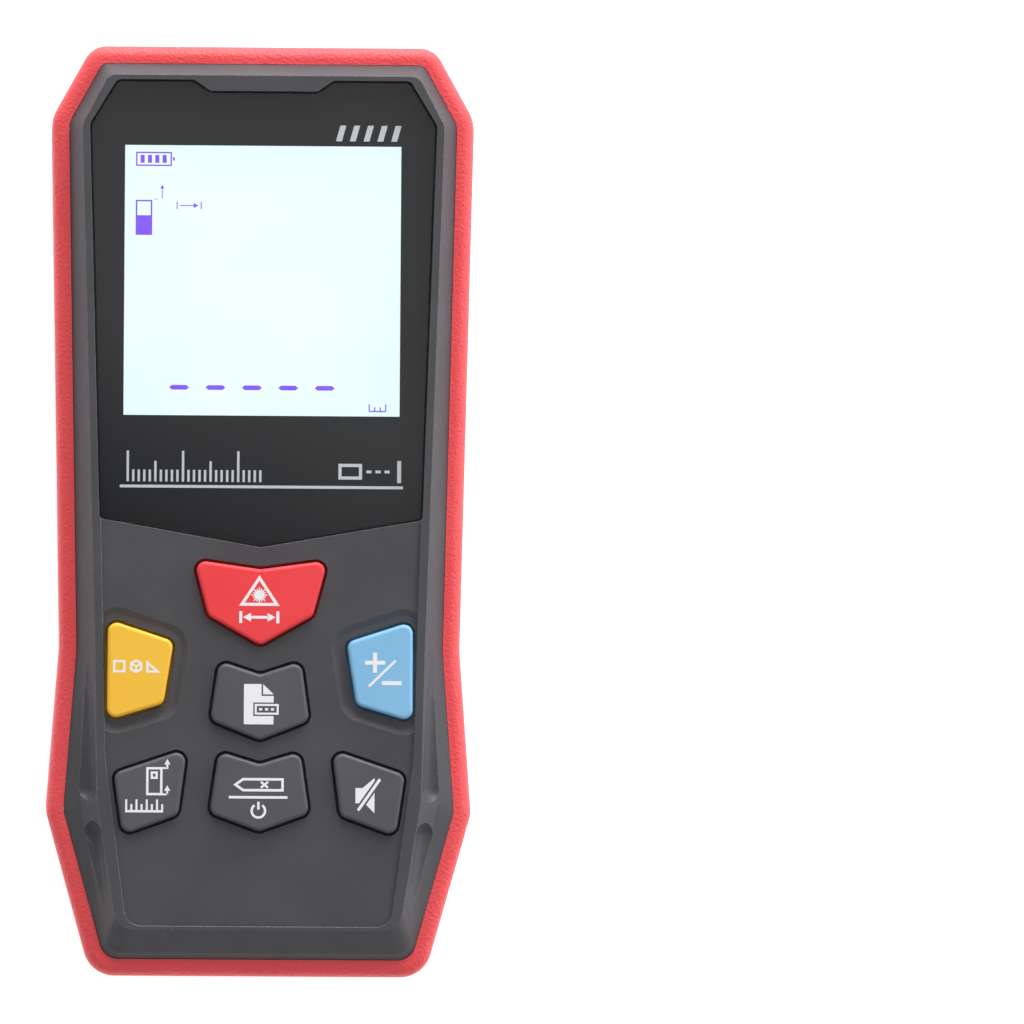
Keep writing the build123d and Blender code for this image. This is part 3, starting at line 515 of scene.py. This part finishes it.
def cell_jacket(node):
    """Shrink sleeve of a dry cell: graphite, with a green band over the fifth at its far end."""
    low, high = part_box(node)
    material, tree, shader = start("PVC shrink sleeve " + node, Roughness=0.3, Metallic=0.35)
    place = add(tree, "TexCoord").outputs["Object"]
    along = add(tree, "SeparateXYZ", links={"Vector": place}).outputs["Y"]
    towards_head = node.endswith("left")
    share = add(
        tree,
        "MapRange",
        values={
            "From Min": low.y if towards_head else high.y,
            "From Max": high.y if towards_head else low.y,
        },
        links={"Value": along},
    )
    bands = add(tree, "ValToRGB", links={"Fac": share.outputs["Result"]})
    bands.color_ramp.interpolation = "CONSTANT"
    steps = [(0.0, "b9bbbd"), (0.02, "2c2e33"), (0.74, "d8dadc"), (0.77, "5f8f6b"), (0.975, "c9cbcd")]
    while len(bands.color_ramp.elements) < len(steps):
        bands.color_ramp.elements.new(0.5)
    for element, (position, code) in zip(bands.color_ramp.elements, steps):
        element.position = position
        element.color = colour(code)
    tree.links.new(bands.outputs["Color"], shader.inputs["Base Color"])
    scuff = add(
        tree, "TexNoise", values={"Scale": per_mm(2.0), "Detail": 4.0}, links={"Vector": place}
    )
    gloss = add(
        tree, "MapRange", values={"To Min": 0.22, "To Max": 0.42}, links={"Value": scuff.outputs["Fac"]}
    )
    tree.links.new(gloss.outputs["Result"], shader.inputs["Roughness"])
    return material


FINISHES["board_green"] = circuit_board()
FINISHES["flex_film"] = flat_cable()
print("boards, cable and cells ready")

# %% [markdown]
# ## Lit display
# The display is white because its light guide shines through it. An emission of about full white
# gives that. It is a touch cooler towards the corners, where less light arrives, so the emission
# colour follows the distance from the display's middle.

# %% Display finish
COOL_REACH = 26 * MM  # where it is coolest, a little beyond the corners that can be seen
lcd_low, lcd_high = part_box("lcd_glass")
lcd_middle = (lcd_low + lcd_high) / 2
lit, tree, shader = start("liquid crystal panel lit white", Roughness=0.25, Emission_Strength=1.05)
shader.inputs["Base Color"].default_value = colour("20262a")
place = add(tree, "TexCoord").outputs["Object"]
centred = add(
    tree,
    "Mapping",
    values={"Location": (-lcd_middle.x, -lcd_middle.y, -lcd_high.z)},
    links={"Vector": place},
)
reach = add(
    tree, "VectorMath", settings={"operation": "LENGTH"}, links={0: centred.outputs["Vector"]}
)
spread = add(
    tree,
    "MapRange",
    values={"From Max": COOL_REACH},
    links={"Value": reach.outputs["Value"]},
)
glow = two_tone(tree, spread.outputs["Result"], "f3ffff", "e9feff", 0.3, 1.0)
tree.links.new(glow, shader.inputs["Emission Color"])
FINISHES["lcd_cell"] = lit

# %% [markdown]
# ## Dressing the CAD pieces
# The part's record names a material slot for each piece, such as front_shell or key_red. Looking
# the finish up by slot keeps the look and the design apart. Each dry cell gets a jacket of its own,
# because the two lie in opposite directions and the bands follow the cell's own ends.

# %% Give the CAD pieces their finishes
slot_of = {row["node"]: row["material_slot"] for row in frame["record"]["subparts"]}
for node, piece in nodes.items():
    slot = slot_of[node]
    finish = cell_jacket(node) if slot == "cell_jacket" else FINISHES[slot]
    piece.data.materials.clear()
    piece.data.materials.append(finish)
print("every CAD piece has its finish")

# %% [markdown]
# ## Printing
# Legends are pad printed: a layer of ink a few hundredths of a millimetre thick. Each mark here is
# a real, very thin solid, so it stays sharp in any view and moves with its key. Strokes are cubes
# that are stretched and turned, and filled marks are flat outlines given the ink's thickness.
#
# The marks are pictograms of our own: a beam symbol for measuring, shapes for the functions, a
# sheet for the memory, a ruler for the unit and so on.

# %% Ink
INK = 0.03 * MM


def ink(name, low, high, roughness=0.5, **values):
    """Pad printing ink, with the faint mottle of the pad."""
    material, tree, shader = start(name, Roughness=roughness, **values)
    place = add(tree, "TexCoord").outputs["Object"]
    mottle = add(
        tree, "TexNoise", values={"Scale": per_mm(0.4), "Detail": 3.0}, links={"Vector": place}
    )
    tree.links.new(two_tone(tree, mottle.outputs["Fac"], low, high), shader.inputs["Base Color"])
    return material


WHITE_INK = ink("pad printing ink white", "f4f4f6", "fafafc")
SILVER_INK = ink("screen printing ink silver", "c9ccd1", "d4d7dc", 0.4)
BLACK_INK = ink("screen printing ink black", "141418", "151519", 0.5, Specular_IOR_Level=0.3)
GREY_INK = ink("screen printing ink dark grey", "3d3f42", "47494c", 0.5)


# %% [markdown]
# ## Drawing marks
# A handful of marks is enough for every pictogram: strokes, filled patches, outlines, discs, arcs
# and arrow heads. Marks that cross in one plane would show as black spots, so each new mark lies a
# fraction of a micrometre above the last one.


# %% Marks
LAYER = 2e-8  # lift in metres for each face that a print already has
ROUND_STEPS = 32


def layer(shape):
    """Tiny lift for the next mark of a print, so that marks which cross never share a plane."""
    return len(shape.faces) * LAYER


def stroke(shape, a, b, width):
    """Straight stroke from a to b, in millimetres, as a stretched and turned cube."""
    lift = layer(shape)
    a, b = Vector(a) * MM, Vector(b) * MM
    run = b - a
    cube = bmesh.ops.create_cube(shape, size=1.0)["verts"]
    bmesh.ops.scale(shape, vec=(run.length, width * MM, INK), verts=cube)
    turn = Matrix.Rotation(math.atan2(run.y, run.x), 3, "Z")
    bmesh.ops.rotate(shape, matrix=turn, verts=cube)
    middle = (a + b) / 2
    bmesh.ops.translate(shape, vec=(middle.x, middle.y, lift), verts=cube)


def path(shape, points, width):
    """Stroke along several points, each run drawn a half width longer so that corners close."""
    for a, b in zip(points, points[1:]):
        along = (Vector(b) - Vector(a)).normalized() * width / 2
        stroke(shape, Vector(a) - along, Vector(b) + along, width)


def raise_ink(shape, flat):
    """Gives flat faces the thickness of the ink."""
    raised = bmesh.ops.extrude_face_region(shape, geom=flat)["geom"]
    top = [item for item in raised if isinstance(item, bmesh.types.BMVert)]
    bmesh.ops.translate(shape, vec=(0, 0, INK), verts=top)


def flat_face(shape, points):
    """Flat face on its few corners, in millimetres, at the underside of the ink."""
    z = layer(shape) - INK / 2
    flat = shape.faces.new([shape.verts.new((x * MM, y * MM, z)) for x, y in points])
    flat.normal_update()
    return flat


def patch(shape, points):
    """Filled mark from its few corners."""
    raise_ink(shape, [flat_face(shape, points)])


def outline(shape, points, width):
    """Closed line of even width along the inside of its corners, with mitred corners."""
    inside = flat_face(shape, points)
    ring = bmesh.ops.inset_region(
        shape, faces=[inside], thickness=width * MM, use_boundary=True, use_even_offset=True
    )["faces"]
    bmesh.ops.delete(shape, geom=[inside], context="FACES_ONLY")
    raise_ink(shape, ring)


def disc(shape, middle, radius):
    """Filled round mark."""
    lift = layer(shape)
    made = bmesh.ops.create_cone(
        shape,
        cap_ends=True,
        segments=ROUND_STEPS,
        radius1=radius * MM,
        radius2=radius * MM,
        depth=INK,
    )["verts"]
    bmesh.ops.translate(shape, vec=(middle[0] * MM, middle[1] * MM, lift), verts=made)


def arc(shape, middle, radius, width, start_angle, sweep):
    """Open round stroke: a small rectangle spun about the middle. Angles are in degrees."""
    inner, outer = (radius - width / 2) * MM, (radius + width / 2) * MM
    corners = [(inner, -INK / 2), (outer, -INK / 2), (outer, INK / 2), (inner, INK / 2)]
    centre = Vector((middle[0] * MM, middle[1] * MM, 0))
    turn = Matrix.Rotation(math.radians(start_angle), 3, "Z")
    ring = [shape.verts.new(centre + turn @ Vector((x, 0, z))) for x, z in corners]
    first = shape.faces.new(ring)
    bmesh.ops.spin(
        shape,
        geom=ring + list(first.edges) + [first],
        cent=centre,
        axis=(0, 0, 1),
        angle=math.radians(sweep),
        steps=ROUND_STEPS,
    )


def arrow_head(shape, tip, towards, size):
    """Filled triangle with its point at tip, pointing along towards."""
    along = Vector(towards).normalized() * size
    across = Vector((-along.y, along.x)) * 0.55
    foot = Vector(tip) - along
    patch(shape, [tuple(tip), tuple(foot + across), tuple(foot - across)])


def printed(shape, name, material, body, z):
    """Finishes a mark: lifts it to height z in metres, recalculates normals and rides on body."""
    bmesh.ops.translate(shape, vec=(0, 0, z), verts=shape.verts)
    bmesh.ops.recalc_face_normals(shape, faces=shape.faces)
    mesh = bpy.data.meshes.new(name)
    shape.to_mesh(mesh)
    shape.free()
    mesh.materials.append(material)
    piece = bpy.data.objects.new(name, mesh)
    bpy.context.collection.objects.link(piece)
    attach(piece, body)
    print(name, len(mesh.polygons), "faces")


# %% [markdown]
# ## Legends on the keys
# A key's middle comes from its CAD box, so each pictogram is drawn around that middle and stays on
# its key if the key is moved in the design.


# %% Where each key is
def key_place(node):
    """Middle of a key in millimetres, and the height of its top in metres."""
    low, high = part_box(node)
    return (low.x + high.x) / 2 / MM, (low.y + high.y) / 2 / MM, high.z


def around(middle, points):
    """Points moved to a middle, all in millimetres."""
    return [(middle[0] + x, middle[1] + y) for x, y in points]


def legend(node, draw, name):
    """Draws one key's pictogram with draw(shape, middle), and prints it on the key."""
    x, y, top = key_place(node)
    shape = bmesh.new()
    draw(shape, (x, y))
    body = node.removeprefix("key_") + "_key"
    printed(shape, name, WHITE_INK, body, top - INK * 0.2)


# %% [markdown]
# The measuring key has the beam symbol, a burst in a triangle, over an arrow between two stops.


# %% Measuring key
def measure_marks(shape, middle):
    """Burst in a triangle, over a double arrow between two stops."""
    outline(shape, around(middle, [(-0.15, 3.52), (2.42, -0.36), (-2.72, -0.36)]), 0.38)
    burst = (middle[0] - 0.15, middle[1] + 1.0)
    disc(shape, burst, 0.62)
    rays = 16
    for ray in range(rays):
        angle = math.tau * ray / rays
        out = Vector((math.cos(angle), math.sin(angle)))
        reach = 1.0 if ray % 2 == 0 else 0.85
        stroke(shape, Vector(burst) + out * 0.4, Vector(burst) + out * reach, 0.15)
    bar_y = -1.8
    for side in (-1, 1):
        x = side * 2.35 - 0.15
        stroke(shape, *around(middle, [(x, bar_y - 0.75), (x, bar_y + 0.75)]), 0.38)
        tip = around(middle, [(x - side * 0.3, bar_y)])[0]
        arrow_head(shape, tip, (side, 0), 1.0)
    stroke(shape, *around(middle, [(-1.3, bar_y), (1.0, bar_y)]), 0.34)


legend("key_dist", measure_marks, "legend_dist")


# %% [markdown]
# The function key shows what it steps through: an area, a volume and a triangle.


# %% Function key
def function_marks(shape, middle):
    """Square, cube and triangle side by side."""
    width = 0.28
    low, high = -0.3, 1.27
    outline(shape, around(middle, [(-3.4, low), (-1.83, low), (-1.83, high), (-3.4, high)]), width)
    cube_middle = (-0.48, (low + high) / 2)
    hexagon = [
        (
            cube_middle[0] + 0.9 * math.sin(math.tau * k / 6),
            cube_middle[1] + 0.9 * math.cos(math.tau * k / 6),
        )
        for k in range(6)
    ]
    outline(shape, around(middle, hexagon), width)
    for k in (1, 3, 5):
        end = Vector(cube_middle) * 0.15 + Vector(hexagon[k]) * 0.85
        stroke(shape, *around(middle, [cube_middle, end]), 0.22)
    outline(shape, around(middle, [(0.8, low), (2.6, low), (0.8, high)]), width)


legend("key_func", function_marks, "legend_func")


# %% [markdown]
# Plus and minus share one key, parted by a slanted line.


# %% Plus and minus key
def plus_minus_marks(shape, middle):
    """Plus, slanted line and minus."""
    x, y, arm = -0.66, 1.15, 1.27
    stroke(shape, *around(middle, [(x - arm, y), (x + arm, y)]), 0.5)
    stroke(shape, *around(middle, [(x, y - arm), (x, y + arm)]), 0.5)
    stroke(shape, *around(middle, [(-1.44, -1.86), (1.96, 1.43)]), 0.3)
    stroke(shape, *around(middle, [(0.21, -1.43), (2.7, -1.43)]), 0.5)


legend("key_plus_minus", plus_minus_marks, "legend_plus_minus")


# %% [markdown]
# The memory key shows a sheet with a folded corner and a tag across its edge. The tag carries
# dashes, as the lines of a list.


# %% Memory key
def memory_marks(shape, middle):
    """Sheet with a folded corner, a gap, and a tag with three dashes."""
    left, right, top, low = -2.02, 1.74, 2.25, -2.85
    tag_left, tag_top, tag_low = -0.83, -0.08, -1.8
    fold_x, fold_y = 0.2, 0.95
    sheet = [(left, low), (right, low), (right, tag_low), (tag_left, tag_low)]
    sheet += [(tag_left, tag_top), (right, tag_top), (right, fold_y - 0.2)]
    sheet += [(fold_x, fold_y - 0.2), (fold_x, top), (left, top)]
    patch(shape, around(middle, sheet))
    patch(shape, around(middle, [(fold_x + 0.2, fold_y), (right, fold_y), (fold_x + 0.2, top)]))
    gap = 0.18
    tag = [(tag_left + gap, tag_low + gap), (2.39, tag_low + gap)]
    tag += [(2.39, tag_top - gap), (tag_left + gap, tag_top - gap)]
    outline(shape, around(middle, tag), 0.26)
    for dash in range(3):
        x = -0.1 + 0.75 * dash
        stroke(shape, *around(middle, [(x, -0.94), (x + 0.4, -0.94)]), 0.3)


legend("key_log", memory_marks, "legend_log")


# %% [markdown]
# One key clears, and switches the meter off when it is held down. A backspace arrow over a line
# and the usual power symbol say so.


# %% Clear and off key
def clear_marks(shape, middle):
    """Backspace arrow, a line, and the power symbol."""
    y = 1.0
    arrow = [(-3.3, y), (-2.1, y - 0.85), (3.1, y - 0.85), (3.1, y + 0.85), (-2.1, y + 0.85)]
    outline(shape, around(middle, arrow), 0.32)
    for rise in (-1, 1):
        cross = [(0.2, y - 0.38 * rise), (1.1, y + 0.38 * rise)]
        stroke(shape, *around(middle, cross), 0.28)
    stroke(shape, *around(middle, [(-3.85, -0.59), (3.57, -0.59)]), 0.32)
    power = (middle[0] - 0.1, middle[1] - 2.3)
    arc(shape, power, 0.85, 0.3, 125, 290)
    stroke(shape, (power[0], power[1] + 0.15), (power[0], power[1] + 1.15), 0.3)


legend("key_clear", clear_marks, "legend_clear")


# %% [markdown]
# The unit key shows the meter with its two reference edges, over a short ruler.


# %% Unit key
def unit_marks(shape, middle):
    """Meter outline with arrows at its ends, over a ruler."""
    left, right, top, low = -0.47, 1.6, 3.2, -0.37
    outline(shape, around(middle, [(left, low), (right, low), (right, top), (left, top)]), 0.3)
    outline(shape, around(middle, [(0.1, 1.7), (1.0, 1.7), (1.0, 2.65), (0.1, 2.65)]), 0.28)
    tip_x = right + 0.6
    for y in (top - 0.12, low + 0.12):
        path(shape, around(middle, [(right, y), (tip_x, y), (tip_x, y + 0.4)]), 0.24)
        arrow_head(shape, around(middle, [(tip_x, y + 1.15)])[0], (0, 1), 0.7)
    ruler_y = -2.4
    stroke(shape, *around(middle, [(-3.1, ruler_y), (1.7, ruler_y)]), 0.3)
    for tick in range(8):
        x = -2.97 + 0.65 * tick
        height = 1.5 if tick % 2 == 0 else 0.9
        stroke(shape, *around(middle, [(x, ruler_y), (x, ruler_y + height)]), 0.25)


legend("key_unit", unit_marks, "legend_unit")


# %% [markdown]
# The mute key has a loudspeaker that a slanted line strikes out. Two cuts clear a gap for the line.


# %% Mute key
def mute_marks(shape, middle):
    """Loudspeaker, cut along a slanted band, with a slanted line in the gap."""
    speaker = [(-1.67, 0.71), (-0.77, 0.71), (0.74, 2.0), (0.74, -2.47), (-0.5, -1.22), (-1.67, -1.22)]
    a = Vector(around(middle, [(-1.34, -2.13)])[0])
    b = Vector(around(middle, [(1.42, 1.84)])[0])
    across = Vector((-(b - a).y, (b - a).x)).normalized()
    for side in (-1, 1):
        half = bmesh.new()
        patch(half, around(middle, speaker))
        point = (a + across * side * 0.42) * MM
        bmesh.ops.bisect_plane(
            half,
            geom=half.verts[:] + half.edges[:] + half.faces[:],
            plane_co=point.to_3d(),
            plane_no=(across * side).to_3d(),
            clear_inner=True,
        )
        bmesh.ops.holes_fill(half, edges=half.edges[:], sides=0)
        bmesh.ops.translate(half, vec=(0, 0, layer(shape)), verts=half.verts)
        kept = bpy.data.meshes.new("half")
        half.to_mesh(kept)
        half.free()
        shape.from_mesh(kept)
        bpy.data.meshes.remove(kept)
    stroke(shape, a, b, 0.36)


legend("key_mute", mute_marks, "legend_mute")

# %% [markdown]
# ## Window printing
# The black border is printed on the underside of the window, with an opening for the display. It is
# a copy of the window's own outline with the opening cut out, so it fits to the last corner. The
# silver marks are printed before the black, so they lie in front of it.

# %% Black border
window_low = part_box("display_window")[0]
APERTURE_X = 17.5  # half width of the display's clear opening, in millimetres
APERTURE_NEAR = 12.2
APERTURE_FAR = 46.4
PRINT_Z = window_low.z + 0.06 * MM
HAIR = 0.03 * MM  # keeps the border clear of the window's sides


def window_outline(shape):
    """Flat face with the outline of the window's underside, inset by a hair, at height 0."""
    shape.from_mesh(nodes["display_window"].data)
    bmesh.ops.remove_doubles(shape, verts=shape.verts, dist=0.001 * MM)
    others = [face for face in shape.faces if face.calc_center_median().z > window_low.z + 0.01 * MM]
    bmesh.ops.delete(shape, geom=others, context="FACES")
    bmesh.ops.dissolve_faces(shape, faces=shape.faces)
    bmesh.ops.inset_region(shape, faces=shape.faces, thickness=HAIR, use_boundary=True)
    outer = [face for face in shape.faces if len(face.verts) == 4]
    bmesh.ops.delete(shape, geom=outer, context="FACES")
    bmesh.ops.translate(shape, vec=(0, 0, -window_low.z), verts=shape.verts)


shape = bmesh.new()
window_outline(shape)
for axis, value in ((0, -APERTURE_X), (0, APERTURE_X), (1, APERTURE_NEAR), (1, APERTURE_FAR)):
    place = Vector((value * MM if axis == 0 else 0, value * MM if axis == 1 else 0, 0))
    across = Vector((1, 0, 0)) if axis == 0 else Vector((0, 1, 0))
    everything = shape.verts[:] + shape.edges[:] + shape.faces[:]
    bmesh.ops.bisect_plane(shape, geom=everything, plane_co=place, plane_no=across)
opening = [
    face
    for face in shape.faces
    if abs(face.calc_center_median().x) < APERTURE_X * MM
    and APERTURE_NEAR * MM < face.calc_center_median().y < APERTURE_FAR * MM
]
bmesh.ops.delete(shape, geom=opening, context="FACES")
raise_ink(shape, shape.faces[:])
printed(shape, "window_border", BLACK_INK, "housing", PRINT_Z)

# %% [markdown]
# A long silver line runs under the display. On it stand the graduations of a ruler, and at its
# right a small meter that sends its beam to a wall. Five slanted bars stand above the display.

# %% Silver marks
LINE_Y = 3.18
shape = bmesh.new()
stroke(shape, (-17.9, LINE_Y), (18.0, LINE_Y), 0.36)
for tick in range(25):
    x = -16.9 + 0.7 * tick
    height = 3.9 if tick % 10 == 0 else 2.6 if tick % 5 == 0 else 1.5
    stroke(shape, (x, LINE_Y + 0.6), (x, LINE_Y + 0.6 + height), 0.3)
meter_y = LINE_Y + 2.0
low, high = meter_y - 1.0, meter_y + 1.0
outline(shape, [(9.8, low), (12.8, low), (12.8, high), (9.8, high)], 0.4)
for dash in range(3):
    x = 13.35 + 1.15 * dash
    stroke(shape, (x, meter_y), (x + 0.65, meter_y), 0.35)
stroke(shape, (17.5, meter_y - 1.4), (17.5, meter_y + 1.4), 0.5)
for bar in range(5):
    x = 9.2 + 1.75 * bar
    patch(shape, [(x, 47.05), (x + 0.75, 47.05), (x + 1.3, 49.05), (x + 0.55, 49.05)])
printed(shape, "window_silver_marks", SILVER_INK, "housing", PRINT_Z + 2 * INK)

# %% [markdown]
# ## Segments of the display
# The segments that are switched on block the light and look violet. They show a full battery, the
# edge that the meter measures from, the simple length mode, and five dashes because nothing has
# been measured yet. A short ruler stands for the unit.

# %% Display segments
segment_ink, tree, shader = start(
    "liquid crystal segment violet", Roughness=0.4, Emission_Strength=1.0
)
place = add(tree, "TexCoord").outputs["Object"]
mottle = add(tree, "TexNoise", values={"Scale": per_mm(1.0)}, links={"Vector": place})
violet = two_tone(tree, mottle.outputs["Fac"], "8450f6", "8c58fb")
tree.links.new(violet, shader.inputs["Emission Color"])
shader.inputs["Base Color"].default_value = colour("140c2a")

shape = bmesh.new()
outline(shape, [(-16.1, 43.8), (-11.55, 43.8), (-11.55, 45.6), (-16.1, 45.6)], 0.18)
for bar in range(4):
    x = -15.27 + 0.93 * bar
    stroke(shape, (x, 44.2), (x, 45.2), 0.52)
stroke(shape, (-11.3, 44.5), (-11.3, 44.95), 0.25)
outline(shape, [(-16.1, 35.05), (-14.0, 35.05), (-14.0, 39.5), (-16.1, 39.5)], 0.2)
patch(shape, [(-16.0, 35.1), (-14.05, 35.1), (-14.05, 37.55), (-16.0, 37.55)])
stroke(shape, (-13.8, 39.6), (-13.3, 39.6), 0.08)
stroke(shape, (-12.75, 39.7), (-12.75, 41.1), 0.12)
arrow_head(shape, (-12.75, 41.45), (0, 1), 0.5)
for x in (-10.85, -7.8):
    stroke(shape, (x, 38.35), (x, 39.3), 0.14)
stroke(shape, (-10.5, 38.82), (-8.7, 38.82), 0.12)
arrow_head(shape, (-8.15, 38.82), (1, 0), 0.6)
for dash in range(5):
    x = -10.45 + 4.62 * dash
    y = 15.75
    half, slope, rise = 1.27, 0.35, 0.3
    upper = [(x - half + slope, y + rise), (x + half - slope, y + rise), (x + half, y)]
    lower = [(x + half - slope, y - rise), (x - half + slope, y - rise), (x - half, y)]
    patch(shape, upper + lower)
stroke(shape, (13.7, 12.85), (15.8, 12.85), 0.16)
for x, height in ((13.7, 0.9), (14.4, 0.55), (15.1, 0.55), (15.8, 0.9)):
    stroke(shape, (x, 12.85), (x, 12.85 + height), 0.16)
printed(shape, "display_segments", segment_ink, "housing", lcd_high.z + 1.5 * INK)

# %% [markdown]
# ## Rating label
# A rating label has ruled boxes for its data and the marks of its approvals. Here it stays generic:
# ruled boxes and plain bars, with no words.

# %% Label printing
MARGIN = 1.5
ROWS = 5
label_low, label_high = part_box("rear_label")
shape = bmesh.new()
half = (label_high.x - label_low.x) / 2 / MM - MARGIN
near, far = label_low.y / MM + MARGIN, label_high.y / MM - MARGIN
outline(shape, [(-half, near), (half, near), (half, far), (-half, far)], 0.25)
for row in range(1, ROWS):
    y = near + (far - near) * row / ROWS
    stroke(shape, (-half, y), (half, y), 0.15)
    stroke(shape, (-half + 1.0, y + 2.6), (-half + 7.5 + 1.5 * (row % 2), y + 2.6), 0.7)
    stroke(shape, (1.5, y + 2.6), (half - 1.5 - 2.0 * (row % 3), y + 2.6), 0.7)
stroke(shape, (0, near + (far - near) / ROWS), (0, far), 0.15)
printed(shape, "label_ruling", GREY_INK, "housing", label_low.z - INK * 0.3)
